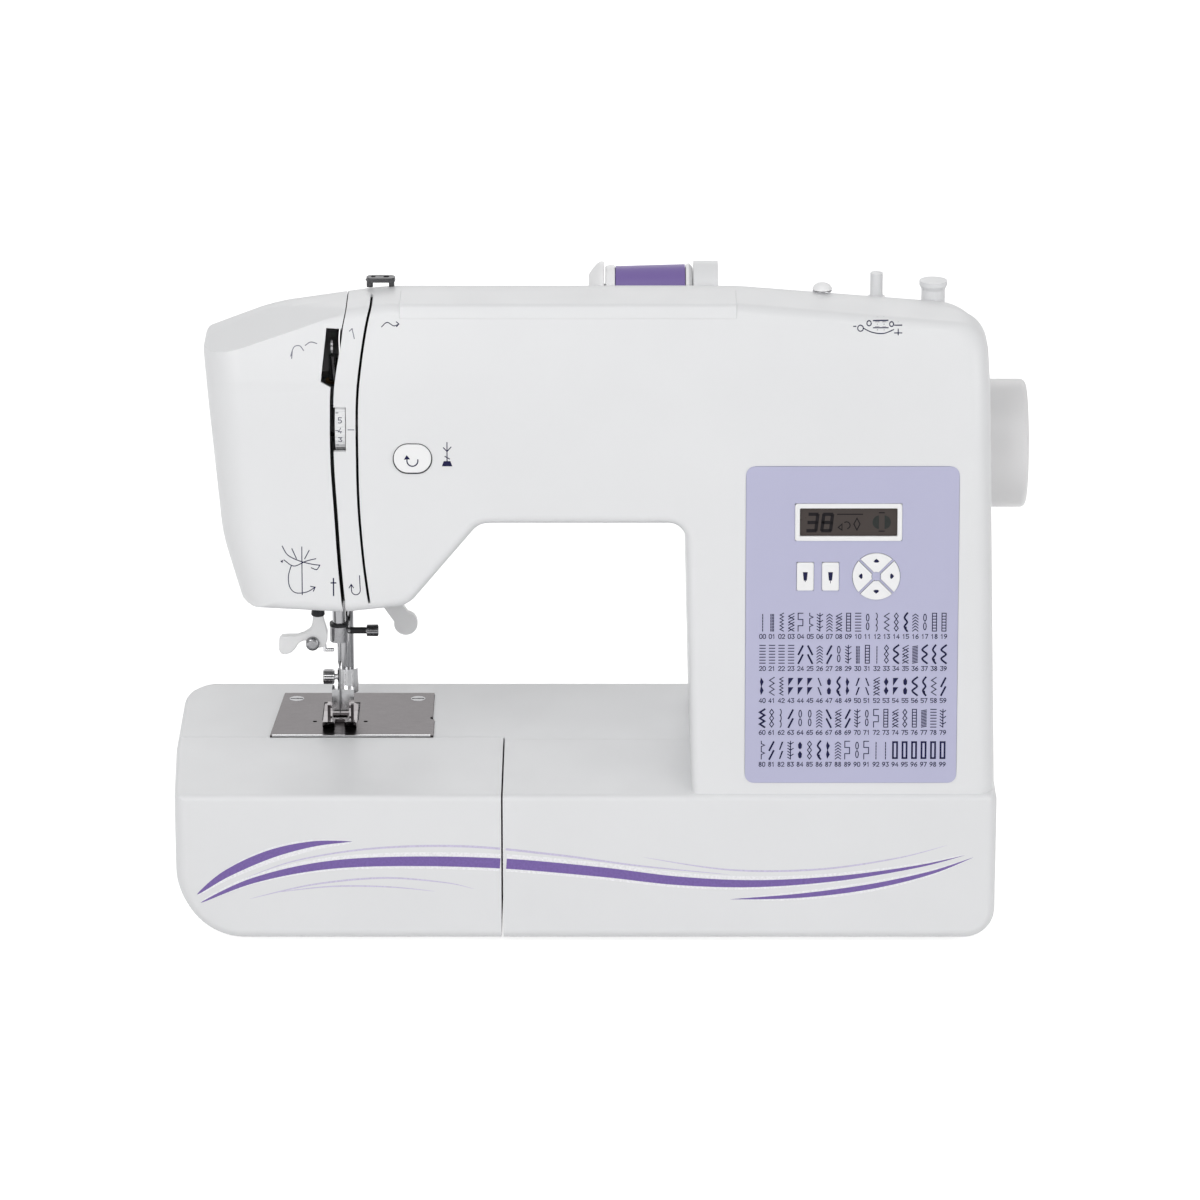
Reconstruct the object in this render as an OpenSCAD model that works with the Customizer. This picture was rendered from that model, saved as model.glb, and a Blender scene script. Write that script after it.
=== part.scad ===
// Computerised free-arm sewing machine, drawn as the pieces it comes apart into.
// X runs from the free arm's end to the handwheel, Y from the operator to the back, Z up.

/* [Body] */
// Length of the body without the handwheel
body_l = 381; // [370:1:400]
// Depth of the base from front to back
body_d = 160; // [154:1:176]
// Height of the bed above the table
bed_h = 74; // [72:0.5:80]
// Height of the arm's top above the table
arm_top = 297.5; // [292:0.5:312]
// Height of the arm's underside above the table
arm_under = 199; // [192:0.5:202]
// Width of the column at the throat
column_w = 142; // [138:1:150]
// Thickness of the moulded walls
wall = 2.5; // [2:0.1:3]
// Height of the rubber feet
foot_h = 3; // [2:0.5:5]

/* [Front] */
// Height of the crease where the front leans back further
crease_h = 262; // [256:1:266]
// How far the front leans back between bed and crease
lean_low = 22; // [16:1:24]
// How far the front leans back between crease and top
lean_high = 13; // [10:1:16]
// Ledge of the bed in front of the column
ledge = 3; // [2:0.5:6]
// Depth of the ledge behind the column
back_ledge = 20; // [16:1:24]

/* [Free arm] */
// Distance from the body's left end to the needle
needle_in = 75.6; // [74:0.2:78]
// Length of the extension table along the front
table_l = 153; // [150:1:156]
// Depth of the extension table from front to back
table_d = 78.2; // [76:0.2:80]
// Gap between the table and what it slides past
seam = 0.8; // [0.6:0.1:1]
// Height of the free arm's underside above the table
free_arm_under = 20; // [18:0.5:21]

/* [Sewing head] */
// Distance from the free arm's front edge to the needle
needle_back = 21.1; // [20:0.1:23]
// Diameter of the needle bar
needle_bar_d = 6.4; // [6:0.1:7]
// Diameter of the presser bar
presser_bar_d = 6; // [5.6:0.1:6.4]
// Height of the needle's tip above the needle plate at rest
tip_h = 2; // [1.5:0.1:3]
// Thickness of the needle plate's part above the bed
plate_proud = 0.8; // [0.5:0.1:1.2]
// Total thickness of the needle plate
plate_t = 1.6; // [1.4:0.1:2]
// Width of the presser foot
foot_w = 16; // [14:0.5:18]

/* [Handwheel] */
// Diameter of the handwheel
wheel_d = 60; // [54:1:64]
// Part of the handwheel that stands out of the body's right side
wheel_out = 16; // [14:0.5:20]
// Diameter of the main shaft
shaft_d = 12; // [10:0.5:12.5]

/* [Control panel] */
// Width of the control panel at its top
panel_w = 97; // [92:1:100]
// Height of the control panel
panel_h = 148; // [142:1:150]
// Thickness of the control panel
panel_t = 1.2; // [1:0.1:1.6]
// Width of the display window
lcd_w = 44.5; // [40:0.5:48]
// Height of the display window
lcd_h = 13; // [11:0.5:15]
// Width of a rectangular button
key_w = 7.6; // [7:0.1:8]
// Height of a rectangular button
key_h = 13; // [12:0.1:14]
// Outer radius of the ring of arrow buttons
arrow_r = 10.8; // [10:0.1:11]
// Travel of the panel's buttons
key_travel = 1; // [0.6:0.1:1.2]

/* [Thread] */
// Diameter of the thread wound on the spool
spool_d = 24; // [20:1:25]
// Length of the thread wound on the spool
spool_l = 35; // [32:1:36]
// Diameter of the bobbin
bobbin_d = 20.4; // [20:0.1:20.8]
// Width of the bobbin
bobbin_w = 9.4; // [9:0.1:9.8]
// Diameter of the winder spindle where a bobbin sits
spindle_d = 5.9; // [5.7:0.05:6]

/* [Hidden] */
$fn = 48;
eps = 0.01;
// Running clearance of a shaft or bar in its bush, on the radius
fit = 0.05;
// Clearance between pieces that only lie next to each other
gap = 0.3;

// Ends, front and back of the body
x0 = -(body_l + wheel_out) / 2;
x1 = x0 + body_l;
y0 = -body_d / 2;
y1 = body_d / 2;
column_x = x1 - column_w;
back_y = y1 - back_ledge;
front_y = y0 + ledge;
parting_y = -4;
base_x = x0 + table_l + seam;
table_back = y0 + table_d;
arm_front = table_back + seam;

// Needle, bars and shafts
needle_x = x0 + needle_in;
needle_y = arm_front + needle_back;
plate_top = bed_h + plate_proud;
shaft_y = needle_y;
shaft_z = arm_under + 13.5;
presser_x = needle_x + 3.4;
presser_y = needle_y + 11;
head_under = arm_under - 41.5;
head_in = 34.5;
diag_x = x0 + 110.5;
throat_x = x0 + 143.5;
hook_z = bed_h - 29;
lower_y = needle_y + 28;

// Colours
white = [0.93, 0.935, 0.945];
pale_grey = [0.83, 0.83, 0.84];
lavender = [0.72, 0.72, 0.85];
steel = [0.72, 0.72, 0.73];
dark_steel = [0.4, 0.4, 0.42];
purple = [0.47, 0.4, 0.66];
dark = [0.1, 0.1, 0.11];

// ---- Lofted shells: an outline of rounded corners, drawn in a little at each layer

function roundover(r, t) = t >= r ? 0 : r - sqrt(r * r - (r - t) * (r - t));
function unit(v) = v / norm(v);
function inward(a, b) = let (d = unit(b - a)) [-d.y, d.x];
function at(list, i) = list[(i + len(list)) % len(list)];

// Where a corner goes when its two edges move inwards by their own amounts
function moved_corner(p, q, s, d1, d2) =
  let (
    n1 = inward(p, q), n2 = inward(q, s), det = n1.x * n2.y - n1.y * n2.x,
    a = q * n1 + d1, b = q * n2 + d2
  ) [(a * n2.y - b * n1.y) / det, (n1.x * b - n2.x * a) / det];

// Points of the arc that rounds corner q between p and s
function corner_arc(p, q, s, r, steps) =
  steps == 0 ? [q] :
  let (
    u = unit(p - q), v = unit(s - q), half = acos(max(-1, min(1, u * v))) / 2,
    room = min(norm(p - q), norm(s - q)) * 0.48,
    rad = min(r, room * tan(half)), c = q + unit(u + v) * rad / sin(half),
    a = (q + u * rad / tan(half) - c) / rad, b = (q + v * rad / tan(half) - c) / rad,
    turn = 180 - 2 * half
  ) [for (i = [0:steps]) c + rad * (a * sin(turn * (steps - i) / steps) + b * sin(turn * i / steps)) / sin(turn)];

// One layer's ring. A corner is [x, z, radius, steps]; an inset belongs to the edge after its corner.
// An inner face takes fewer steps than the outer one
function steps_of(corner, inner) = inner ? ceil(corner[3] / 2) : corner[3];
function ring(corners, insets, inner = false) =
  let (
    n = len(corners),
    at2 = function(i) [at(corners, i)[0], at(corners, i)[1]],
    m = [for (j = [0:n - 1]) moved_corner(at2(j - 1), at2(j), at2(j + 1), at(insets, j - 1), insets[j])]
  ) [
    for (j = [0:n - 1])
      let (
        d = (at(insets, j - 1) + insets[j]) / 2,
        e1 = at2(j) - at2(j - 1), e2 = at2(j + 1) - at2(j),
        convex = e1.x * e2.y - e1.y * e2.x > 0,
        r = max(0.5, corners[j][2] + (convex ? -d : d))
      ) each corner_arc(at(m, j - 1), m[j], at(m, j + 1), r, steps_of(corners[j], inner))
  ];

// Solid through rings of [x, y, z] points that run from front to back; fold is a pair of ring
// indices between which the front face folds
module loft(rings, fold = [0, 0]) {
  n = len(rings[0]);
  last = (len(rings) - 1) * n;
  points = [for (r = rings) each r];
  sides = [
    for (k = [0:len(rings) - 2])
      for (i = [0:n - 1])
        let (a = k * n + i, b = k * n + (i + 1) % n)
        each [[a, b, b + n], [a, b + n, a + n]]
  ];
  whole = fold[0] == fold[1];
  front = whole ? [[for (i = [n - 1:-1:0]) i]] : [
    [for (i = [fold[1]:-1:fold[0]]) i],
    concat([for (i = [fold[0]:-1:0]) i], [for (i = [n - 1:-1:fold[1]]) i])
  ];
  polyhedron(points = points, faces = concat(sides, front, [[for (i = [0:n - 1]) last + i]]), convexity = 10);
}

// ---- Arm, column and head in one outline

// How far back the front face lies at a height
function front_at(z) =
  front_y + lean_low * (z - bed_h) / (crease_h - bed_h)
  + (z > crease_h ? (lean_high / (arm_top - crease_h) - lean_low / (crease_h - bed_h)) * (z - crease_h) : 0);
crown_y = shaft_y - 36.1;
crown_r = 45;
crown_turn = 50;
// How far the top has fallen at a depth behind the crown
function crown_drop(y) =
  let (run = crown_r * sin(crown_turn))
  y <= crown_y ? 0
  : y - crown_y < run ? crown_r - sqrt(crown_r * crown_r - (y - crown_y) * (y - crown_y))
  : crown_r * (1 - cos(crown_turn)) + (y - crown_y - run) * tan(crown_turn);

function arm_corners(fold_z) = [
  [x1 - 0.6, bed_h - 14, 0, 0],
  [x1 - 5 - 5 * (fold_z - crease_h) / (crease_h - bed_h), fold_z, 0, 0],
  [x1 - 6.6, arm_top - 9, 24, 8],
  [x1 - 120, arm_top, 150, 3],
  [needle_x + 24, arm_top, 130, 4],
  [x0 + 48.5, arm_top - 7.5, 90, 2],
  [x0 + 19.8, arm_top - 19, 6, 5],
  [x0 + 17.5 + 5 * (crease_h - fold_z) / 60, fold_z, 0, 0],
  [x0 + 25.8, head_under + 32, 80, 3],
  [x0 + head_in, head_under + 2.5, 4, 5],
  [needle_x + 6, head_under, 60, 2],
  [diag_x, head_under + 3, 14, 5],
  [throat_x, arm_under, 10, 5],
  [column_x - 1.5, arm_under, 8, 6],
  [column_x + 2, bed_h - 14, 0, 0]
];
// Rounding of the edges: right, top slopes, left, under head and arm, column, bottom
front_edges = [10, 10, 9, 9, 10, 10, 28, 28, 28, 6, 6, 5, 5, 4, 0];
back_edges = [14, 14, 8, 8, 8, 8, 16, 16, 16, 6, 6, 5, 5, 5, 0];
on_top = [0, 0, 1, 1, 1, 1, 0, 0, 0, 0, 0, 0, 0, 0, 0];
function fold_points(inner) =
  let (c = arm_corners(crease_h)) [1, 1 + len([for (j = [1:6]) each [for (i = [0:steps_of(c[j], inner)]) i]])];
function thinned(list, inner) =
  inner ? [for (i = [0:len(list) - 1]) if (i % 2 == 0 || i == len(list) - 1) list[i]] : list;
front_layers = [0, 0.7, 2, 4, 7, 12, 22];
crown_layers = [for (d = [0, 8, 16, 25, 34.5, 54]) crown_y + d];
back_layers = [16, 9, 5, 2, 0.4, 0];

function arm_insets(edges, t, y, in) = [
  for (i = [0:len(edges) - 1])
    (i == len(edges) - 1 ? 0 : roundover(edges[i], t) + in) + on_top[i] * crown_drop(y)
];
function front_ring(t, in) = [
  for (p = ring(arm_corners(crease_h), arm_insets(front_edges, t, crown_y, in), in > 0))
    [p.x, front_at(p.y) + t + in, p.y]
];
function back_ring(t, y, in) = [
  for (p = ring(arm_corners(crease_h - 60), arm_insets(back_edges, t, y, in), in > 0)) [p.x, y, p.y]
];
// Outer form of arm, column and head; in draws every face inwards
module arm_form(in = 0) {
  loft(
    concat(
      [for (t = thinned(front_layers, in > 0)) front_ring(t, in)],
      [for (y = thinned(crown_layers, in > 0)) back_ring(back_y, y, in)],
      [for (t = thinned(back_layers, in > 0)) back_ring(t, back_y - in - t, in)]
    ),
    fold_points(in > 0)
  );
}

// ---- Boxes with rounded corners seen from the front and rounded edges towards front and back

function box_corners(xa, xb, za, zb, r) =
  let (steps = [for (c = r) c == 0 ? 0 : c < 5 ? 3 : 7])
  [[xb, za, r[1], steps[1]], [xb, zb, r[2], steps[2]], [xa, zb, r[3], steps[3]], [xa, za, r[0], steps[0]]];
// r: corner radii bottom left, bottom right, top right, top left.
// f, b: rounding of the front and back edges right, top, left, bottom
module bed_form(xa, xb, ya, yb, za, zb, r, f, b, in = 0) {
  corners = box_corners(xa, xb, za, zb, r);
  inner = in > 0;
  depth_f = thinned([0, 0.6, 2, 3.6, 6], inner);
  depth_b = thinned(max(b) > 15 ? [30, 20, 13, 8, 4, 1.4, 0] : [12, 8, 5, 2.2, 0.6, 0], inner);
  loft(
    concat(
      [for (t = depth_f) [for (p = ring(corners, [for (e = f) roundover(e, t) + in], inner)) [p.x, ya + in + t, p.y]]],
      [for (t = depth_b) [for (p = ring(corners, [for (e = b) roundover(e, t) + in], inner)) [p.x, yb - in - t, p.y]]]
    )
  );
}
module base_form(in = 0) {
  bed_form(base_x, x1, y0, y1, foot_h, bed_h, [0, 14, 3, 0], [5, 3, 0, 5], [12, 8, 0, 6], in);
}
module free_arm_form(in = 0) {
  bed_form(x0, base_x, arm_front, y1, free_arm_under, bed_h, [12, 0, 0, 2], [0, 1, 1, 1], [0, 8, 30, 6], in);
}

module at_front(x, z, depth = 0) {
  translate([x, front_at(z) + depth, z]) rotate([90 - atan(lean_low / (crease_h - bed_h)), 0, 0]) children();
}
module along_x(x, y, z) { translate([x, y, z]) rotate([0, 90, 0]) children(); }
module along_y(x, y, z) { translate([x, y, z]) rotate([-90, 0, 0]) children(); }

// Line from one point to another as a slot cut through whatever it meets in the front
module front_groove(points, width, from_y, to_y) {
  for (i = [0:len(points) - 2])
    hull() {
      along_y(points[i].x, from_y, points[i].y) cylinder(d = width, h = to_y - from_y, $fn = 12);
      along_y(points[i + 1].x, from_y, points[i + 1].y) cylinder(d = width, h = to_y - from_y, $fn = 12);
    }
}
// Flat outline in X and Z, pushed from one depth to another
module pushed(from_y, to_y) {
  translate([0, to_y, 0]) rotate([90, 0, 0]) linear_extrude(to_y - from_y) children();
}
module box(x, y, z) { translate([x[0], y[0], z[0]]) cube([x[1] - x[0], y[1] - y[0], z[1] - z[0]]); }
module rounded_plate(w, h, t, r) {
  linear_extrude(t) union() {
    square([w - 2 * r, h], center = true);
    square([w, h - 2 * r], center = true);
    for (x = [-1, 1], y = [-1, 1]) translate([x * (w / 2 - r), y * (h / 2 - r)]) circle(r);
  }
}

// ---- Lines that split the head and lead the thread

slot_w = 2.2;
left_slot = [
  for (p = [[150, 6.8], [158, 6.2], [180, 4.2], [205, 2.6], [228, 1.2], [250, 1.1], [264, 1.7], [284, 5.2], [310, 11]])
    [needle_x + p[1], p[0] + arm_top - 297.5]
];
right_slot = [
  for (p = [[163, 17.6], [170, 16.6], [185, 14.8], [209, 13], [235, 12.5], [257, 12.7], [272, 14.2], [284, 16], [292, 17.2]])
    [needle_x + p[1], p[0] + arm_top - 297.5]
];
module left_of_slot(shift) {
  pushed(y0 - 20, y1 + 20) polygon(concat(
    [for (p = left_slot) [p.x + shift, p.y]],
    [[x0 - 20, arm_top + 12.5], [x0 - 20, arm_top - 147.5]]
  ));
}
// Opening in the head's underside for the bars and the presser lever
module head_mouth() {
  box([needle_x - 24, diag_x - 4.5], [shaft_y - 32, back_y - 9], [head_under - 10, head_under + 20]);
}
window_z = arm_top - 36;
module take_up_window() {
  pushed(y0 - 5, y0 + 55) polygon([
    [needle_x - 1, arm_top - 12], [needle_x + 5.5, arm_top - 12.5],
    [needle_x + 1.5, window_z], [needle_x - 3.6, window_z + 3]
  ]);
}

// ---- Spool, winder and handle places on the top

spool_y = shaft_y + 8;
spool_z = arm_top - 13;
spool_x = x0 + 203;
trough_x = [x0 + 183, spool_x + spool_l + 15.2];
trough_r = spool_d / 2 + 4.5;
winder_x = x1 - 55;
winder_y = shaft_y - 10;
winder_travel = 8;
winder_top = arm_top + 0.5;
handle_y = back_y + 6;
handle_z = arm_top - 54;
handle_x = [x0 + 120, x0 + 296];
handle_bar_r = 5;
socket_y = shaft_y + 8;
socket_z = [foot_h + 14, foot_h + 42];

module spool_trough(grow = 0) {
  along_x(trough_x[0] - grow, spool_y, spool_z)
    cylinder(r = trough_r + grow, h = trough_x[1] - trough_x[0] + 2 * grow, $fn = 36);
}
module handle_bosses() {
  for (x = handle_x)
    hull() {
      along_x(x - 9, handle_y, handle_z) cylinder(r = 6.5, h = 6, $fn = 32);
      along_x(x - 9, handle_y - 13, handle_z) cylinder(r = 9, h = 6, $fn = 32);
    }
}
socket_depth = 24;

// ---- Screws: place of each along a line, shared by the bosses they bite into

base_screws = [for (x = [base_x + 22, x1 - 38], y = [y0 + 22, y1 - 22]) [x, y]];
rear_screws = [
  [base_x + 52, bed_h - 16], [x1 - 26, bed_h - 16], [x1 - 14, arm_top - 108], [needle_x + 52, arm_top - 72]
];
screw_seat_y = parting_y + 12;
screw_d = 3.5;
screw_head_d = 7;

// ---- Casings

module shell(grow) {
  arm_form(grow);
  base_form(grow);
}
module base_mouth() {
  box([base_x + wall + 1, x1 - 15], [y0 + 7, y1 - 9], [0, foot_h + 2 * wall]);
}
module free_arm_passage() {
  box([base_x - 5, base_x + 5], [arm_front + 6, y1 - 4], [free_arm_under + wall, bed_h - wall - 2]);
}
module hollow_shell() {
  difference() {
    shell(0);
    shell(wall);
    base_mouth();
    free_arm_passage();
    head_mouth();
    along_x(x1 - 15, shaft_y, shaft_z) cylinder(d = shaft_d + 1.6, h = 20);
  }
}

module petal(grow) {
  intersection() {
    difference() {
      circle(arrow_r + grow);
      circle(2.2 - grow);
    }
    polygon([[0.9 - 1.4 * grow, 0], [20.9, 20 + 1.4 * grow], [20.9, -20 - 1.4 * grow]]);
  }
}
module key_holes(depth, petals) {
  translate([0, 0, -depth]) linear_extrude(3 * depth) {
    for (x = key_xs) translate([x - panel_x, key_cz - panel_cz]) square([key_w + gap, key_h + gap], center = true);
    if (petals) translate([arrow_x - panel_x, key_cz - panel_cz]) for (a = [0:90:270]) rotate(a) petal(0.2);
    else translate([arrow_x - panel_x, key_cz - panel_cz]) circle(arrow_r + gap);
    translate([lcd_x - panel_x, lcd_z - panel_cz]) square([lcd_w + 4.4, lcd_h + 4.4], center = true);
  }
}
reverse_x = needle_x + 37.7;
reverse_z = arm_top - 67.7;
reverse_rx = 8.5;
reverse_rz = 6.4;
module oval(rx, rz) {
  union() {
    for (x = [-1, 1]) translate([x * (rx - rz), 0]) circle(rz);
    square([2 * (rx - rz), 2 * rz], center = true);
  }
}
module reverse_hole() {
  at_front(reverse_x, reverse_z, 4) translate([0, 0, -4]) linear_extrude(16) oval(reverse_rx + gap, reverse_rz + gap);
}
dial_z = arm_top - 54.4;
dial_x = needle_x + 4.9;
dial_r = 12.5;
dial_w = 4.6;
dial_y = front_at(dial_z) + dial_r - 0.9;

module front_housing() color(white) difference() {
  union() {
    intersection() {
      hollow_shell();
      box([x0 - 5, x1 + 5], [y0 - 5, parting_y], [0, arm_top + 5]);
    }
    // Bosses that take the screws from the back
    intersection() {
      shell(1);
      union() {
        for (p = rear_screws) along_y(p.x, y0, p.y) cylinder(d1 = 11, d2 = 8, h = parting_y - y0, $fn = 20);
        // Posts that the circuit board stands on
        at_front(panel_x, panel_cz) for (p = board_posts) translate([p.x, p.y, board_depth + 1.6]) cylinder(d = 6, h = 14, $fn = 16);
      }
    }
  }
  left_of_slot(slot_w / 2);
  front_groove(right_slot, slot_w, y0, shaft_y - 40);
  at_front(panel_x, panel_cz) {
    translate([0, 0, -panel_t + gap]) rounded_plate(panel_w + gap, panel_h + gap, 5, 4);
    key_holes(6, false);
  }
  reverse_hole();
  box([dial_x - dial_w / 2 - 2, dial_x + dial_w / 2 + gap], [y0, dial_y], [dial_z - 10.1, dial_z + 10.1]);
  for (p = rear_screws) along_y(p.x, parting_y - 20, p.y) cylinder(d = screw_d - 0.4, h = 30, $fn = 20);
}

vent_n = 9;
module rear_housing() color(white) difference() {
  union() {
    intersection() {
      difference() {
        union() {
          difference() {
            shell(0);
            shell(wall);
          }
          intersection() {
            shell(0);
            spool_trough(wall);
          }
          intersection() {
            shell(0);
            socket_well(wall);
          }
        }
        base_mouth();
        free_arm_passage();
        head_mouth();
        spool_trough();
        socket_well(0);
        along_x(x1 - 15, shaft_y, shaft_z) cylinder(d = shaft_d + 1.6, h = 20);
      }
      box([x0 - 5, x1 + 5], [parting_y, y1 + 5], [0, arm_top + 5]);
    }
    handle_bosses();
    // Screw wells from the back wall to the parting plane
    intersection() {
      shell(0.5);
      for (p = rear_screws)
        along_y(p.x, parting_y, p.y) cylinder(d = 10, h = (p.y < bed_h ? y1 : back_y) - parting_y - 1, $fn = 20);
    }
  }
  left_of_slot(slot_w / 2);
  // Slot that the winder spindle slides along
  hull() {
    for (x = [0, winder_travel + 4]) translate([winder_x + x, winder_y, arm_top - 22]) cylinder(d = 9, h = 30, $fn = 24);
  }
  for (x = handle_x) along_x(x - 12, handle_y, handle_z) cylinder(d = 6.2, h = 12);
  for (p = rear_screws) {
    along_y(p.x, parting_y - 1, p.y) cylinder(d = screw_d + 0.4, h = y1, $fn = 20);
    along_y(p.x, screw_seat_y, p.y) cylinder(d = screw_head_d + 0.6, h = y1, $fn = 20);
  }
  translate([x1 - 29, winder_y - 4, arm_top - 22]) cylinder(d = 11.6, h = 30, $fn = 24);
  // Cooling slots in the column's back
  for (i = [0:vent_n - 1])
    hull() {
      for (x = [0, 44]) along_y(x1 - 96 + x, back_y - 10, bed_h + 36 + 7 * i) cylinder(d = 2.6, h = 20, $fn = 16);
    }
}
module socket_well(grow) {
  box([x1 - socket_depth - grow, x1 + 5], [socket_y - 23 - grow, socket_y + 23 + grow],
    [socket_z[0] - grow, socket_z[1] + grow]);
}

module face_cover() color(white) difference() {
  union() {
    intersection() {
      difference() {
        arm_form();
        arm_form(wall);
      }
      left_of_slot(-slot_w / 2);
    }
    // Posts that stand on the ends of the bar brackets
    intersection() {
      arm_form(1);
      for (z = [lower_guide_z, upper_guide_z])
        box([x0, threader_x - 6], [presser_y - 2, presser_y + 3], [z + 2, z + 7]);
    }
  }
  head_mouth();
  take_up_window();
  // Notch with the thread cutter
  hull() {
    for (z = [0, 9]) translate([x0 + 19, shaft_y - 26, arm_under + 6 + z]) rotate([0, 90, 20]) cylinder(d = 1.8, h = 30, center = true, $fn = 16);
  }
  // Slots under the lamp, cooled from below
  for (i = [0:6])
    hull() {
      for (y = [0, 22]) translate([x0 + 44 + 3 * i - 4, shaft_y - 26 + y - 34, head_under - 5]) cylinder(d = 1.4, h = 12, $fn = 12);
    }
}

door_x = [needle_x - 30, needle_x + 26];
door_z = [free_arm_under + 4, bed_h - 3.5];
door_t = 1.8;
door_pin_d = 2.4;
module free_arm_shell() color(white) difference() {
  union() {
    difference() {
      free_arm_form();
      free_arm_form(wall);
    }
    // Ears for the door's pin and posts under the needle plate's screws
    for (x = [door_x[0] - 3.2, door_x[1] + gap])
      box([x, x + 2.9], [arm_front + 0.5, arm_front + 6], [free_arm_under + 1, door_z[0] + 4]);
    for (p = plate_screw_at) translate([p.x, p.y, bed_h - 12]) cylinder(d = 6, h = 11);
  }
  // Seat of the needle plate and the well under it
  translate([0, 0, plate_top - plate_t]) linear_extrude(5) plate_outline(0.15);
  difference() {
    translate([0, 0, bed_h - 8]) linear_extrude(20) plate_outline(-7);
    for (p = plate_screw_at) translate([p.x, p.y, bed_h - 12]) cylinder(d = 6, h = 11);
  }
  for (p = plate_screw_at) translate([p.x, p.y, bed_h - 11]) cylinder(d = screw_d - 0.4, h = 15, $fn = 20);
  box([door_x[0] - gap, door_x[1] + gap], [arm_front - 2, arm_front + wall + 1], [door_z[0] - 2.3, door_z[1] + gap]);
  along_x(door_x[0] - 2.2, door_hinge_y, door_hinge_z) cylinder(d = door_pin_d + 2 * fit, h = door_x[1] - door_x[0] + 4.4);
  free_arm_passage();
  // Slot of the lever that drops the feed teeth
  hull() {
    for (x = [0, lever_travel]) along_y(needle_x + 34 + x, y1 - 8, feed_lever_z) cylinder(d = 6, h = 20, $fn = 24);
  }
  // Slots in the underside
  for (i = [0:7])
    hull() {
      for (y = [0, 24]) translate([needle_x - 40 + 9 * i, shaft_y + 12 + y, free_arm_under - 5]) cylinder(d = 2.4, h = 10, $fn = 12);
    }
}
door_hinge_y = arm_front + 2.2;
door_hinge_z = door_z[0] + 0.6;

module bobbin_door() color(white) {
  difference() {
    union() {
      box(door_x, [arm_front, arm_front + door_t], [door_z[0] + 0.2, door_z[1]]);
      along_x(door_x[0], door_hinge_y, door_hinge_z) cylinder(d = 4, h = door_x[1] - door_x[0]);
      // Rib that stiffens the door and the latch at its top
      box([door_x[0] + 6, door_x[1] - 6], [arm_front + door_t - eps, arm_front + 3], [door_z[0] + 16, door_z[0] + 17.6]);
      box([needle_x - 10, needle_x + 10], [arm_front + door_t - eps, arm_front + 4], [door_z[1] - 2.2, door_z[1] - 0.6]);
    }
    // Finger scoop
    along_y(needle_x, arm_front - 1, door_z[1] + 5) cylinder(r = 11, h = 2);
  }
  along_x(door_x[0] - 2, door_hinge_y, door_hinge_z) cylinder(d = door_pin_d, h = door_x[1] - door_x[0] + 4);
}

module extension_table() color(white) difference() {
  xa = x0;
  xb = base_x - seam;
  bed_form(xa, xb, y0, table_back, foot_h, bed_h, [34, 0, 0, 2], [0, 3, 5, 5], [0, 0, 0, 0]);
  // Room for accessories, open towards the free arm, with dividers in front
  hull() {
    for (x = [xa + 28, xb - wall - 4], z = [foot_h + wall + 4, bed_h - wall - 4])
      along_y(x, y0 + 30, z) cylinder(r = 4, h = table_d, $fn = 24);
  }
  for (i = [0:3]) {
    w = (table_l - wall - 24 - 3 * 2) / 4;
    left = xa + 24 + i * (w + 2);
    hull() {
      for (x = [left + 4, left + w - 4], z = [foot_h + wall + 4, bed_h - wall - 4])
        along_y(x, y0 + wall + 1, z) cylinder(r = 4, h = 32, $fn = 20);
    }
  }
  // Hollow behind the rounded end
  for (k = [0:3])
    hull() {
      for (x = [xa + wall + 3, xa + 19], z = [foot_h + 12 + 14 * k, foot_h + 23 + 14 * k])
        along_y(max(x, xa + wall + 3 + max(0, 34 - z) * 0.4), y0 + wall + 1, z) cylinder(r = 2, h = table_d, $fn = 12);
    }
}

module base_plate() color(pale_grey) difference() {
  union() {
    box([base_x + wall + 1 + gap, x1 - 15 - gap], [y0 + 7 + gap, y1 - 9 - gap], [foot_h, foot_h + wall]);
    for (p = base_screws) translate([p.x, p.y, foot_h]) cylinder(d = 11, h = 8);
    // Ribs along and across
    for (y = [y0 + 40, 0, y1 - 40]) box([base_x + 8, x1 - 22], [y - 1, y + 1], [foot_h + wall - eps, foot_h + 6]);
    for (x = [base_x + 60, x1 - 66]) box([x - 1, x + 1], [y0 + 12, y1 - 14], [foot_h + wall - eps, foot_h + 6]);
  }
  for (p = base_screws) translate([p.x, p.y, 0]) {
    cylinder(d = screw_d, h = 30);
    cylinder(d = foot_peg_d, h = foot_h + 1.6);
  }
  for (i = [0:11]) box([0, 3] + (x1 - 120 + 7 * i) * [1, 1], [-26, 26] , [0, foot_h + wall + 1]);
}

foot_peg_d = 9;
module rubber_feet() color(dark) for (p = base_screws) translate([p.x, p.y, 0]) rotate_extrude()
  polygon([[2.2, 1], [2.2, foot_h + 1.5], [foot_peg_d / 2 - 0.05, foot_h + 1.5], [foot_peg_d / 2 - 0.05, foot_h],
    [9.5, foot_h], [9, 0], [5, 0], [5, 1]]);

// ---- Control panel

panel_x = x1 - 67.5;
panel_cz = bed_h + 78.9;
lcd_x = panel_x - 1.8;
lcd_z = panel_cz + 48.2;
key_cz = panel_cz + 23;
key_xs = [panel_x - 21.4, panel_x - 9.9];
arrow_x = panel_x + 11;

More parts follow.
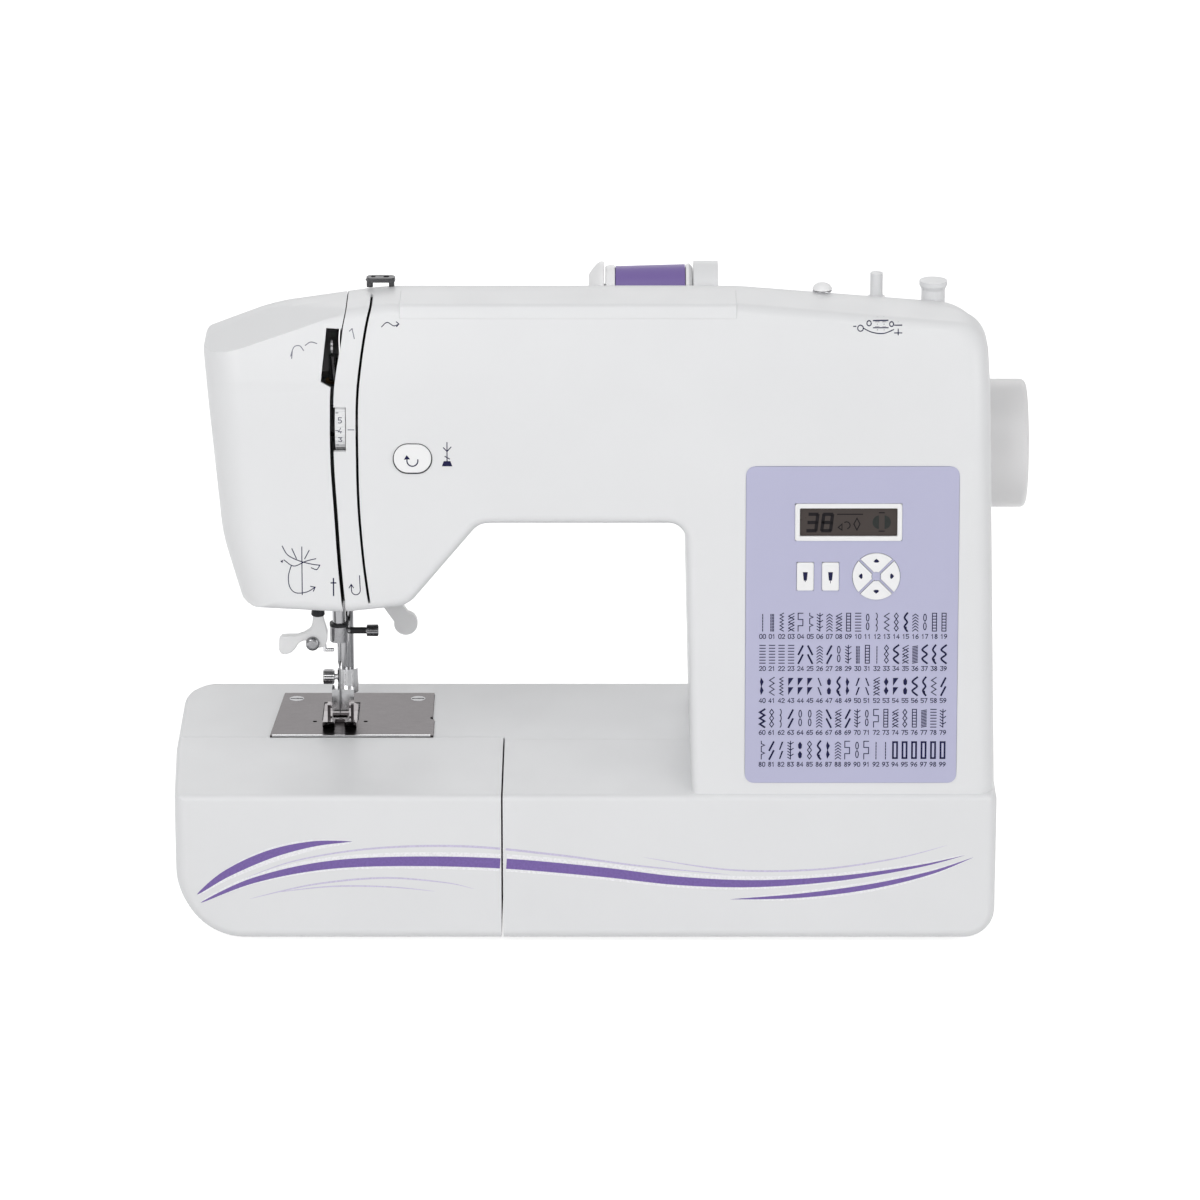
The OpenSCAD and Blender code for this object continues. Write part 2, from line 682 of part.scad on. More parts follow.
module on_panel(depth = 0) { at_front(panel_x, panel_cz) translate([0, 0, depth]) children(); }
module control_panel() color(lavender) on_panel(-panel_t + gap) difference() {
  rounded_plate(panel_w, panel_h, panel_t, 4);
  key_holes(4, true);
}
module lcd_bezel() color(white) on_panel(-panel_t + gap) translate([lcd_x - panel_x, lcd_z - panel_cz, 0]) difference() {
  translate([0, 0, -1.5]) rounded_plate(lcd_w + 4.2, lcd_h + 4.2, panel_t + 2.1, 1.2);
  translate([0, 0, -3]) rounded_plate(lcd_w, lcd_h, 10, 0.6);
}
module lcd_screen() color([0.25, 0.25, 0.24]) on_panel(-panel_t + gap) translate([lcd_x - panel_x, lcd_z - panel_cz, -1.6]) {
  rounded_plate(lcd_w - 0.2, lcd_h - 0.2, 2.2, 0.5);
  translate([0, 0, -2.8]) rounded_plate(lcd_w + 2, lcd_h + 2, 2.8 + eps, 0.5);
}
board_depth = -14;
board_posts = [for (x = [-1, 1], y = [-1, 1]) [x * (panel_w / 2 - 9), y * 42]];
module control_board() color([0.1, 0.4, 0.2]) on_panel(board_depth) difference() {
  union() {
    rounded_plate(panel_w - 8, 96, 1.6, 2);
    for (x = [-30, -10, 14], y = [-28, -12]) translate([x - 6, y - 4, -2.4 + eps]) cube([12, 8, 2.4]);
    for (x = [-34, 34]) translate([x, -35, -9 + eps]) cylinder(d = 9, h = 9);
    // Switches under the keys
    for (x = key_xs) translate([x - panel_x, key_cz - panel_cz, 1.6 - eps]) cylinder(d = 3.4, h = 4.4);
    for (a = [0:90:270]) translate([arrow_x - panel_x, key_cz - panel_cz, 1.6 - eps]) rotate(a) translate([7, 0, 0]) cylinder(d = 3, h = 4.4);
  }
  for (p = board_posts) translate([p.x, p.y, -5]) cylinder(d = 3.4, h = 20);
}
module key(x) on_panel(-3.2) translate([x - panel_x, key_cz - panel_cz, 0]) {
  rounded_plate(key_w, key_h, 3.2 + 1, 0.8);
  translate([0, 0, -3.6]) cylinder(d = 3, h = 3.7);
}
module left_button() color(white) key(key_xs[0]);
module right_button() color(white) key(key_xs[1]);
module arrow_button(turn) on_panel(-3.2) translate([arrow_x - panel_x, key_cz - panel_cz, 0]) {
  linear_extrude(3.2 + 1) rotate(turn) petal(0);
  rotate(turn) translate([7, 0, -3.6]) cylinder(d = 2.6, h = 3.7);
}
module arrow_right() color(white) arrow_button(0);
module arrow_up() color(white) arrow_button(90);
module arrow_left() color(white) arrow_button(180);
module arrow_down() color(white) arrow_button(270);

reverse_travel = 3;
module reverse_button() color(white) at_front(reverse_x, reverse_z, 4) {
  linear_extrude(5.4) oval(reverse_rx, reverse_rz);
  translate([0, 0, -9]) cylinder(d = 4, h = 10);
}

// ---- Needle plate, feed and hook

plate_screw_at = [[needle_x + 36, needle_y + 30], [needle_x - 22, needle_y + 30]];
module plate_outline(grow) {
  polygon([
    [needle_x - 32.4 - grow - (grow > 0 ? 0.37 : 0), arm_front - (grow > 0 ? 5 : grow)], [needle_x + 44.4 + grow, arm_front - (grow > 0 ? 5 : grow)],
    [needle_x + 44.4 + grow, arm_front + 22], [needle_x + 43.6 + grow, arm_front + 26],
    [needle_x + 43.6 + grow, arm_front + 59 + grow], [needle_x - 28 - grow, arm_front + 59 + grow]
  ]);
}
feed_slots = [
  for (x = [-7, 7]) [x, 0, 24],
  for (x = [-3.4, 3.4]) [x, 6, 20]
];
feed_w = 2.4;
module needle_plate() color(steel) translate([0, 0, plate_top - plate_t]) difference() {
  linear_extrude(plate_t) difference() {
    plate_outline(0);
    translate([needle_x, needle_y]) {
      circle(0.9);
      square([6, 1.8], center = true);
      for (x = [-3, 3]) translate([x, 0]) circle(0.9);
      for (s = feed_slots) translate([s[0] - feed_w / 2 - 0.4, s[1] - 0.6]) square([feed_w + 0.8, s[2] - s[1] + 1.2]);
      for (x = [-12, 12]) translate([x, -2]) circle(1);
    }
    translate([needle_x + 44.4, arm_front + 24]) circle(2);
    for (p = plate_screw_at) translate(p) circle(screw_d / 2 + 0.15);
  }
  for (p = plate_screw_at) translate([p.x, p.y, plate_t - 0.8]) cylinder(d1 = screw_d, d2 = screw_head_d + 0.4, h = 0.8 + eps);
}
feed_drop = 2.4;
module feed_dog() color(steel) translate([needle_x, needle_y, 0]) {
  for (s = feed_slots)
    for (k = [0:floor((s[2] - s[1]) / 2) - 1])
      translate([s[0] - feed_w / 2, s[1] + 2 * k, plate_top - 0.8]) rotate([90, 0, 90]) linear_extrude(feed_w)
        polygon([[0, 0], [2, 0], [0.6, 0.9]]);
  for (s = feed_slots) box([s[0] - feed_w / 2, s[0] + feed_w / 2], [s[1], s[2]], [bed_h - 9, plate_top - 0.8 + eps]);
  difference() {
    box([-9, 9], [4.5, 26], [bed_h - 12, bed_h - 9 + eps]);
    translate([0, 20, bed_h - 20]) cylinder(d = 4, h = 20);
  }
  // Carrier that the rock shaft lifts
  for (x = [-9, 6]) box([x, x + 3], [20, 26], [bed_h - 17, bed_h - 12 + eps]);
}
lever_travel = 8;
feed_lever_z = bed_h - 44;
module feed_drop_lever() color(white) {
  along_y(needle_x + 34, y1 - 12, feed_lever_z) {
    cylinder(d = 5, h = 11.6);
    translate([0, 0, -3]) cylinder(d = 7, h = 3 + eps);
  }
  box([needle_x + 4, needle_x + 35], [y1 - 18, y1 - 14.9], [feed_lever_z - 3, feed_lever_z + 3]);
}

race_r = 21;
hook_r = 17;
race_y = [arm_front + 7.5, arm_front + 20];
module hook_race() color(dark_steel) along_y(needle_x, race_y[0], hook_z) difference() {
  union() {
    cylinder(r = race_r, h = race_y[1] - race_y[0]);
    cylinder(d = 13, h = race_y[1] - race_y[0] + 8);
    // Tab that fastens to the frame
    translate([-7, 8, race_y[1] - race_y[0] - eps]) cube([14, 13.9, 2.5]);
  }
  translate([0, 0, -1]) cylinder(r = hook_r + 0.2, h = race_y[1] - race_y[0] - 0.5);
  cylinder(d = 8.1, h = 60);
  // Opening for the needle at the top
  translate([-4, -race_r - 1, -1]) cube([8, 9, 20]);
}
hook_shaft_l = 28;
module shuttle_hook() color(steel) along_y(needle_x, race_y[0], hook_z) {
  difference() {
    translate([0, 0, 0.5]) cylinder(r = hook_r, h = 10);
    translate([0, 0, -1]) cylinder(r = 13.6, h = 10);
    // Gap before the hook's point
    rotate(-72) translate([0, -3.6, -1]) cube([20, 7.2, 9.6]);
    translate([0, 0, 10.5 + eps]) rotate(-72) translate([13.6, 2, -2]) cube([20, 8, 3]);
  }
  translate([0, 0, 10]) cylinder(d = 8, h = hook_shaft_l);
  // Fork that the swing crank works in
  translate([0, 0, hook_shaft_l + 4]) difference() {
    union() {
      cylinder(d = 14, h = 5);
      translate([-4, -13, 0]) cube([8, 13, 5]);
    }
    translate([-1.6, -18, -1]) cube([3.2, 10, 7]);
  }
}
case_r = 13.2;
module bobbin_case() color(steel) along_y(needle_x, race_y[0], hook_z) {
  difference() {
    translate([0, 0, -2.6]) cylinder(r = case_r, h = 11.4);
    translate([0, 0, -1.8]) cylinder(r = bobbin_d / 2 + 0.9, h = 12);
    rotate(30) translate([8, -3, -1]) cube([8, 6, 12]);
  }
  translate([0, 0, -2.2]) cylinder(d = 5.4, h = 10.6);
  // Latch across the front and the finger that holds the case still
  translate([-8, -2, -3.6]) cube([16, 4, 1.2]);
  translate([-1.5, -race_r + 1, -2.4]) cube([3, 9, 1.6]);
}
module bobbin() color([0.8, 0.82, 0.86]) along_y(needle_x, race_y[0] - 1.3, hook_z) difference() {
  union() {
    for (z = [0, bobbin_w - 0.8]) translate([0, 0, z]) cylinder(d = bobbin_d, h = 0.8);
    cylinder(d = 8, h = bobbin_w);
    translate([0, 0, 0.8 - eps]) cylinder(d = bobbin_d - 3, h = bobbin_w - 1.6 + 2 * eps);
  }
  translate([0, 0, -1]) cylinder(d = 6, h = 20);
  for (a = [0:60:300]) rotate(a) translate([6, 0, -1]) cylinder(d = 1.6, h = 1.8 + eps);
}

// ---- Frame inside

frame_y = shaft_y + 14;
frame_t = 6;
lug_t = 10;
main_lugs = [needle_x + 30, base_x + 100, x1 - 46];
lower_lugs = [needle_x + 26, x1 - 62];
module lug(x, y, z, bore, h, to_y, t = lug_t) {
  difference() {
    union() {
      along_x(x, y, z) cylinder(d = bore + 8, h = t);
      box([x, x + t], [y, to_y], [z - h, z + h]);
    }
    along_x(x - 1, y, z) cylinder(d = bore, h = t + 2);
  }
}
bush_wall = 1.6;
main_bore = shaft_d + 2 * bush_wall + 2 * fit;
lower_d = 8;
lower_bore = lower_d + 2 * bush_wall + 2 * fit;
upper_guide_z = arm_top - 64;
lower_guide_z = head_under + 6;
threader_x = needle_x - 11.5;
threader_y = needle_y - 3;
presser_pivot = [needle_x + 13, presser_y + 7, head_under - 13.5];
guide_h = 9;
module bar_bracket(z) {
  difference() {
    union() {
      translate([needle_x, needle_y, z]) cylinder(d = needle_bar_d + 9, h = guide_h);
      translate([presser_x, presser_y, z]) cylinder(d = presser_bar_d + 9, h = guide_h);
      box([threader_x - 6, needle_x + 30], [presser_y - 4, frame_y + 2], [z, z + guide_h]);
      if (z == lower_guide_z) {
        translate([threader_x, threader_y, z]) cylinder(d = 11, h = guide_h);
        box([threader_x - 5, threader_x + 5], [threader_y, presser_y], [z, z + guide_h]);
        // Lug behind the presser lever
        box([presser_pivot.x - 3, presser_pivot.x + 4], [frame_y - 2, presser_pivot.y + 9], [z, z + guide_h]);
        box([presser_pivot.x - 4, presser_pivot.x + 4], [presser_pivot.y + 3, presser_pivot.y + 9], [presser_pivot.z - 5, z + guide_h]);
      }
    }
    translate([threader_x, threader_y, z - 1]) cylinder(d = 3.1, h = guide_h + 2);
    translate([needle_x, needle_y, z - 1]) cylinder(d = needle_bar_d + 2 * fit + 2 * bush_wall, h = guide_h + 2);
    translate([presser_x, presser_y, z - 1]) cylinder(d = presser_bar_d + 2 * fit + 2 * bush_wall, h = guide_h + 2);
  }
}
frame_top = arm_top - 53;
module machine_frame() color([0.62, 0.63, 0.65]) {
  difference() {
    // One upright plate: head, arm, column and the rail under the bed
    pushed(frame_y, frame_y + frame_t) polygon([
      [needle_x + 16, lower_guide_z], [needle_x + 28, lower_guide_z], [throat_x + 4, arm_under + 9],
      [column_x + 8, arm_under + 9], [column_x + 8, bed_h - 8], [base_x + 8, bed_h - 8], [base_x + 8, foot_h + 8],
      [x1 - 34, foot_h + 8], [x1 - 34, shaft_z + 26], [x1 - 40, frame_top], [needle_x + 16, frame_top]
    ]);
    // Lightening holes
    for (i = [0:2]) along_y(base_x + 20 + 34 * i, frame_y - 1, shaft_z + 20) cylinder(r = 6, h = frame_t + 2);
    for (z = [bed_h + 24, bed_h + 62, bed_h + 100]) along_y(column_x + 32, frame_y - 1, z) cylinder(r = 12, h = frame_t + 2);
    // Notch that the crank turns in
    box([needle_x + 10, needle_x + 27], [frame_y - 1, frame_y + frame_t + 1], [shaft_z - 21, shaft_z + 20.5]);
    // Window that the timing belt and its pulleys turn in
    box([timing_x - 5.5, timing_x + belt_w + 7.5], [frame_y - 1, frame_y + frame_t + 1], [hook_z - timing_r - 5, shaft_z + timing_r + 5]);
    // Holes that the housing's screw wells pass
    for (p = rear_screws) along_y(p.x, frame_y - 1, p.y) cylinder(d = 12, h = frame_t + 2);
  }
  for (x = main_lugs) lug(x, shaft_y, shaft_z, main_bore, 8, frame_y + eps);
  // Bearing of the lower shaft in the base
  difference() {
    union() {
      along_x(lower_lugs[1], lower_y, hook_z) cylinder(d = lower_bore + 8, h = lug_t);
      box([lower_lugs[1], lower_lugs[1] + lug_t], [frame_y + frame_t - eps, lower_y], [hook_z - 6, hook_z + 6]);
    }
    along_x(lower_lugs[1] - 1, lower_y, hook_z) cylinder(d = lower_bore, h = lug_t + 2);
  }
  // Rail and floor inside the free arm, with the other bearing of the lower shaft
  rail_x = [needle_x - 30, base_x + 46];
  difference() {
    union() {
      box(rail_x, [y1 - 12, y1 - 7], [arm_floor, bed_h - 9]);
      box([rail_x[1] - 10, rail_x[1]], [frame_y + frame_t - eps, y1 - 7], [arm_floor, bed_h - 9]);
      box([rail_x[0], lower_lugs[0] + lug_t], [race_y[1] + 4.5 - eps, y1 - 7], [arm_floor, arm_floor + 3]);
      box([needle_x - 7, needle_x + 7], [race_y[1] + 2.5, race_y[1] + 4.5], [arm_floor, arm_floor + 13]);
      along_x(lower_lugs[0], lower_y, hook_z) cylinder(d = lower_bore + 8, h = lug_t);
      box([lower_lugs[0], lower_lugs[0] + lug_t], [lower_y, y1 - 11], [hook_z - 6, hook_z + 6]);
    }
    along_x(lower_lugs[0] - 1, lower_y, hook_z) cylinder(d = lower_bore, h = lug_t + 2);
    along_x(rail_x[1] - 20, lower_y, hook_z) cylinder(d = lower_d + 4, h = 30);
    box([needle_x, needle_x + 60], [y1 - 13, y1], [feed_lever_z - 5, feed_lever_z + 5]);
  }
  bar_bracket(upper_guide_z);
  bar_bracket(lower_guide_z);
  along_y(presser_pivot.x, presser_pivot.y - 2.6, presser_pivot.z) cylinder(d = 5, h = 6);
  // Bearing of the take-up lever
  difference() {
    union() {
      along_x(lever_x + 6, lever_pivot_y, lever_pivot_z) cylinder(d = 12, h = 6);
      box([lever_x + 7, lever_x + 12], [lever_pivot_y, frame_y + 2], [lever_pivot_z - 10, lever_pivot_z + 1]);
      box([lever_x + 7, needle_x + 20], [frame_y, frame_y + frame_t], [upper_guide_z, lever_pivot_z - 8]);
    }
    along_x(lever_x, lever_pivot_y, lever_pivot_z) cylinder(d = 6 + 2 * fit, h = 20);
  }
  // Bracket that the motor is bolted to
  difference() {
    box([drive_x - 12, drive_x - 9], [motor_y - motor_r - 8, frame_y + eps], [motor_z - 10, motor_z + 10]);
    along_x(drive_x - 14, motor_y, motor_z) cylinder(d = 15.4, h = 8);
    for (s = [-1, 1]) along_x(drive_x - 14, motor_y + s * (motor_r + 3), motor_z) cylinder(d = 4, h = 8);
  }
  // Shelf that the winder's carriage slides on
  difference() {
    union() {
      box([winder_x - 15, winder_x + winder_travel + 24], [winder_y - 9, winder_y + 10], [carriage_z - 3.3, carriage_z - gap]);
      box([winder_x - 15, winder_x - 9], [winder_y - 9, winder_y + 15], [frame_top - 10, carriage_z - gap]);
      box([winder_x - 15, winder_x - 9], [winder_y + 10, frame_y + eps], [frame_top - 10, frame_top]);
    }
    box([winder_x - 4, winder_x + winder_travel + 4], [winder_y - 4, winder_y + 4], [carriage_z - 5, carriage_z]);
  }
  // Bearers on the base plate
  for (x = [[base_x + 14, base_x + 30], [x1 - 46, x1 - 30]]) difference() {
    box(x, [y0 + 16, y1 - 16], [foot_h + 8, foot_h + 12]);
    for (p = base_screws) translate([p.x, p.y, 0]) cylinder(d = screw_d - 0.4, h = 20);
  }
}
arm_floor = free_arm_under + wall + 0.5;
module ring_part(inner, outer, h) { difference() { cylinder(r = outer, h = h); translate([0, 0, -1]) cylinder(r = inner, h = h + 2); } }
module bushes() color([0.72, 0.55, 0.3]) {
  for (x = main_lugs) along_x(x - 1, shaft_y, shaft_z) ring_part(shaft_d / 2 + fit, main_bore / 2 - fit, lug_t + 2);
  for (x = lower_lugs) along_x(x - 1, lower_y, hook_z) ring_part(lower_d / 2 + fit, lower_bore / 2 - fit, lug_t + 2);
  for (z = [upper_guide_z, lower_guide_z]) {
    translate([needle_x, needle_y, z - 1]) ring_part(needle_bar_d / 2 + fit, needle_bar_d / 2 + bush_wall, guide_h + 2);
    translate([presser_x, presser_y, z - 1]) ring_part(presser_bar_d / 2 + fit, presser_bar_d / 2 + bush_wall, guide_h + 2);
  }
}

// ---- Drive

timing_x = x1 - 78;
timing_r = 11;
drive_x = x1 - 30;
drive_r = 26;
motor_y = y0 + 52;
motor_z = bed_h + 34;
motor_r = 19;
pulley_r = 7;
belt_t = 1.6;
belt_w = 7;
module drum(r, w, bore) {
  difference() {
    union() {
      cylinder(r = r, h = w);
      for (z = [0, w - 1]) translate([0, 0, z]) cylinder(r = r + 2.4, h = 1);
      translate([0, 0, -4]) cylinder(d = bore + 8, h = 4 + eps);
    }
    translate([0, 0, -6]) cylinder(d = bore, h = w + 12);
  }
}
module main_shaft() color(steel) {
  along_x(needle_x + 20, shaft_y, shaft_z) cylinder(d = shaft_d, h = x1 + 1 - needle_x - 20);
  along_x(x1 + 1 - eps, shaft_y, shaft_z) cylinder(d = shaft_d - 3, h = 10);
  // Crank that drives the needle bar and the take-up lever
  along_x(needle_x + 17, shaft_y, shaft_z) {
    cylinder(r = 12, h = 8);
    translate([-6, -19, 0]) cube([12, 20, 8]);
  }
  along_x(needle_x + 12.5, shaft_y, shaft_z) translate([0, -14, 0]) cylinder(d = 5, h = 5);
}
module shaft_pulleys() color(dark_steel) {
  along_x(timing_x, shaft_y, shaft_z) drum(timing_r, belt_w + 3, shaft_d);
  along_x(drive_x, shaft_y, shaft_z) drum(drive_r, belt_w + 3, shaft_d);
}
module lower_shaft() color(steel) {
  along_x(needle_x + 22, lower_y, hook_z) cylinder(d = lower_d, h = x1 - 44 - needle_x - 22);
  along_x(timing_x, lower_y, hook_z) drum(timing_r, belt_w + 3, lower_d - 0.01);
  // Swing crank and the feed cam
  along_x(needle_x + 17, lower_y, hook_z) {
    cylinder(r = 7, h = 6);
    translate([0, -4, -3]) cylinder(d = 3, h = 3.2);
  }
  along_x(needle_x + 50, lower_y, hook_z) translate([-1.5, 0, 0]) cylinder(r = 8, h = 7);
}
module belt_loop(ya, za, ra, yb, zb, rb) {
  hull() {
    translate([ya, za]) circle(ra);
    translate([yb, zb]) circle(rb);
  }
}
module belt(x, ya, za, ra, yb, zb, rb) {
  translate([x, 0, 0]) rotate([90, 0, 90]) linear_extrude(belt_w) difference() {
    belt_loop(ya, za, ra + gap + belt_t, yb, zb, rb + gap + belt_t);
    belt_loop(ya, za, ra + gap, yb, zb, rb + gap);
  }
}
module timing_belt() color(dark) belt(timing_x + 1.5, shaft_y, shaft_z, timing_r, lower_y, hook_z, timing_r);
module motor_belt() color(dark) belt(drive_x + 1.5, shaft_y, shaft_z, drive_r, motor_y, motor_z, pulley_r);
module drive_motor() color(dark_steel) along_x(drive_x - 64, motor_y, motor_z) difference() {
  union() {
    cylinder(r = motor_r, h = 52);
    translate([0, 0, 52 - eps]) cylinder(r = 7.5, h = 3);
    translate([0, 0, -3]) cylinder(r = 7.5, h = 3 + eps);
    // Mounting flange
    for (s = [-1, 1]) translate([0, s * (motor_r + 3), 48]) cylinder(r = 5, h = 4);
    translate([-5, -motor_r - 3, 48]) cube([10, 2 * motor_r + 6, 4]);
  }
  for (s = [-1, 1]) translate([0, s * (motor_r + 3), 40]) cylinder(d = 4, h = 20);
  translate([0, 0, 40]) cylinder(d = 4.1, h = 20);
}
module motor_pulley() color(steel) {
  along_x(drive_x - 20, motor_y, motor_z) cylinder(d = 4, h = 34);
  along_x(drive_x, motor_y, motor_z) drum(pulley_r, belt_w + 3, 3.99);
}
module stepper_motors() color([0.55, 0.56, 0.58]) {
  for (p = [[needle_x + 80, frame_y - 18, shaft_z + 27], [base_x + 72, frame_y - 18, bed_h - 32]])
    along_y(p.x, p.y, p.z) {
      cylinder(r = 17, h = 18);
      translate([0, 0, -10]) cylinder(d = 4, h = 10 + eps);
      translate([0, 0, -8]) cylinder(r = 5, h = 5);
      translate([-21, -3.5, 14]) cube([42, 7, 1.5]);
    }
}

wheel_gap = -0.8;
module handwheel() color(pale_grey) along_x(x1 - 2, shaft_y, shaft_z) rotate_extrude() polygon([
  [shaft_d / 2 - 1.5, 3.2], [14, 3.2], [14, 10], [wheel_d / 2 - 3, 10], [wheel_d / 2 - 3, wheel_gap], [wheel_d / 2, wheel_gap],
  for (a = [0:15:90]) [wheel_d / 2 - 3 + 3 * cos(a), wheel_out + 2 - 3 + 3 * sin(a)],
  [wheel_d / 2 - 8, wheel_out + 2], [wheel_d / 2 - 9.5, wheel_out + 1], [shaft_d / 2 - 1.5, wheel_out + 1]
]);

// ---- Needle bar and what it carries

clamp_h = 9;
needle_l = 38;
clamp_z = plate_top + tip_h + needle_l;
module needle_bar() color(steel) {
  translate([needle_x, needle_y, clamp_z + 1]) cylinder(d = needle_bar_d, h = upper_guide_z + guide_h + 11.5 - clamp_z);
  // Bracket with the pin that the crank's rod works on
  translate([needle_x, needle_y, shaft_z - 7]) cylinder(d = needle_bar_d + 6, h = 12);
  along_x(needle_x + 2, needle_y, shaft_z - 1) cylinder(d = 5, h = 9);
}
module needle_clamp() color(dark_steel) {
  difference() {
    translate([needle_x, needle_y, clamp_z]) cylinder(d = 9, h = clamp_h);
    translate([needle_x, needle_y, clamp_z + 1]) cylinder(d = needle_bar_d, h = clamp_h);
    translate([needle_x, needle_y, clamp_z - 1]) cylinder(d = 2, h = 3);
  }
  along_x(needle_x + 4, needle_y, clamp_z + 5) {
    cylinder(d = 3, h = 10);
    translate([0, 0, 9]) cylinder(d = 5.4, h = 5.4);
  }
}
module needle() color([0.85, 0.85, 0.87]) translate([needle_x, needle_y, plate_top + tip_h]) rotate_extrude()
  polygon([[0, 0], [0.15, 0.2], [0.4, 4], [0.4, 25], [1, 28], [1, needle_l + 1], [0, needle_l + 1]]);

lever_x = needle_x + 1.2;
lever_pivot_y = shaft_y - 30.6;
lever_pivot_z = arm_top - 44.5;
lever_tip_y = front_at(arm_top - 18) + 3;
module take_up_lever() color(steel) {
  along_x(lever_x - 0.5, 0, 0) linear_extrude(1) rotate(90) difference() {
    union() {
      translate([lever_pivot_y, lever_pivot_z]) circle(5);
      polygon([
        [lever_pivot_y - 4, lever_pivot_z - 3], [lever_pivot_y + 1, lever_pivot_z + 5],
        [lever_tip_y + 7, arm_top - 18], [lever_tip_y, arm_top - 15.5], [lever_tip_y - 1, arm_top - 21], [lever_tip_y + 6, arm_top - 25]
      ]);
      translate([lever_tip_y + 1.6, arm_top - 18.4]) circle(3);
    }
    translate([lever_tip_y + 1.6, arm_top - 18.4]) circle(1.4);
  }
  along_x(lever_x + 0.4, lever_pivot_y, lever_pivot_z) cylinder(d = 6, h = 12);
}

presser_lift = 6;
presser_z = plate_top + 11;
module presser_bar() color(steel) {
  translate([presser_x, presser_y, presser_z + 2]) cylinder(d = presser_bar_d, h = upper_guide_z + guide_h + 3 - presser_z);
  // Collar with the arm that the lever lifts
  translate([presser_x, presser_y, lower_guide_z - 12.5]) cylinder(d = presser_bar_d + 5, h = 5.4);
  box([presser_x, presser_pivot.x], [presser_y + 2, presser_pivot.y + 1.8], [presser_pivot.z + 6.3, presser_pivot.z + 10]);
}
module foot_holder() color([0.86, 0.86, 0.87]) {
  difference() {
    union() {
      translate([presser_x, presser_y, presser_z]) cylinder(d = presser_bar_d + 4, h = 12);
      box([needle_x - 4, presser_x + 3], [needle_y + 3.6, presser_y + 2], [presser_z - 2, presser_z + 3]);
      box([needle_x - 4, needle_x + 4], [needle_y + 3.6, needle_y + 8], [plate_top + 3, presser_z - 2 + eps]);
    }
    along_x(needle_x - 10, foot_pin_y, foot_pin_z) cylinder(d = 1.3, h = 20);
    translate([presser_x, presser_y, presser_z + 2]) cylinder(d = presser_bar_d, h = 20);
  }
  // Thumb screw
  color(dark) along_x(presser_x - 11.5, presser_y, presser_z + 7) {
    cylinder(d = 7, h = 5);
    cylinder(d = 3, h = 7.5);
  }
}
foot_pin_y = needle_y + 5.8;
foot_pin_z = plate_top + 4.6;
module presser_foot() color([0.8, 0.8, 0.82]) {
  translate([needle_x, needle_y, plate_top + gap]) intersection() {
    // Side profile: toes turned up, sole flat to the pin, heel drawn up behind it
    rotate([90, 0, 90]) linear_extrude(foot_w, center = true) polygon([
      [-11, 0], [foot_pin_y - needle_y, 0], [16, 1.8], [16, 2.8], [7, 1.6], [-10.4, 1.5], [-14, 3.8], [-15, 3]
    ]);
    linear_extrude(10) difference() {
      polygon([
        [-foot_w / 2, -13], [-foot_w / 2 + 1.2, -15], [-2.4, -15], [-2.4, -4], [2.4, -4], [2.4, -15],
        [foot_w / 2 - 1.2, -15], [foot_w / 2, -13], [foot_w / 2, 14], [foot_w / 2 - 2, 16], [-foot_w / 2 + 2, 16], [-foot_w / 2, 14]
      ]);
      square([7, 3.4], center = true);
    }
  }
  // Ears with the pin that the holder snaps over
  for (x = [-6.2, 4.8]) difference() {
    translate([needle_x + x, foot_pin_y - 2.4, plate_top + gap + 1.4]) cube([1.4, 4.8, 4.6]);
    along_x(needle_x + x - 1, foot_pin_y, foot_pin_z) cylinder(d = 1.2, h = 4);
  }
  along_x(needle_x - 6.2, foot_pin_y, foot_pin_z) cylinder(d = 1.2, h = 12.4);
}

module presser_lever() color(white) translate(presser_pivot) rotate([90, 0, 0]) difference() {
  linear_extrude(4, center = true) union() {
    circle(6);
    rotate(-56) union() {
      translate([0, -4]) square([32, 8]);
      translate([32, 0]) circle(5.6);
    }
    rotate(40) translate([0, -2.2]) square([10.6, 4.4]);
  }
  cylinder(d = 5.1, h = 20, center = true);
}

threader_travel = 18;
module needle_threader() {
  color(dark) translate([threader_x, threader_y, clamp_z + 5]) cylinder(d1 = 5.6, d2 = 4.2, h = 8);
  color(steel) translate([threader_x, threader_y, clamp_z + 12]) cylinder(d = 3, h = 66);
  color(white) {
    difference() {
      translate([threader_x, threader_y, clamp_z - 9]) cylinder(d = 7, h = 14 + eps);
      translate([threader_x, threader_y, clamp_z - 10]) cylinder(d = 3.2, h = 7);
    }
    // Handle that the finger draws down
    pushed(threader_y - 2, threader_y + 2) polygon([
      [threader_x + 2, clamp_z - 1], [threader_x - 6, clamp_z - 5.5], [threader_x - 14, clamp_z - 8],
      [threader_x - 15, clamp_z - 11.5], [threader_x - 8, clamp_z - 11], [threader_x - 3, clamp_z - 9.5], [threader_x + 2, clamp_z - 9]
    ]);
  }
  // Claw with the hook
  color(dark_steel) {
    box([threader_x - 3, threader_x + 3], [threader_y - 5, threader_y - 3], [clamp_z - 8, clamp_z - 3]);
    box([threader_x + 2, threader_x + 5.4], [threader_y - 5, threader_y - 3], [clamp_z - 7, clamp_z - 5]);
  }
}

// ---- Thread path, spool and winder

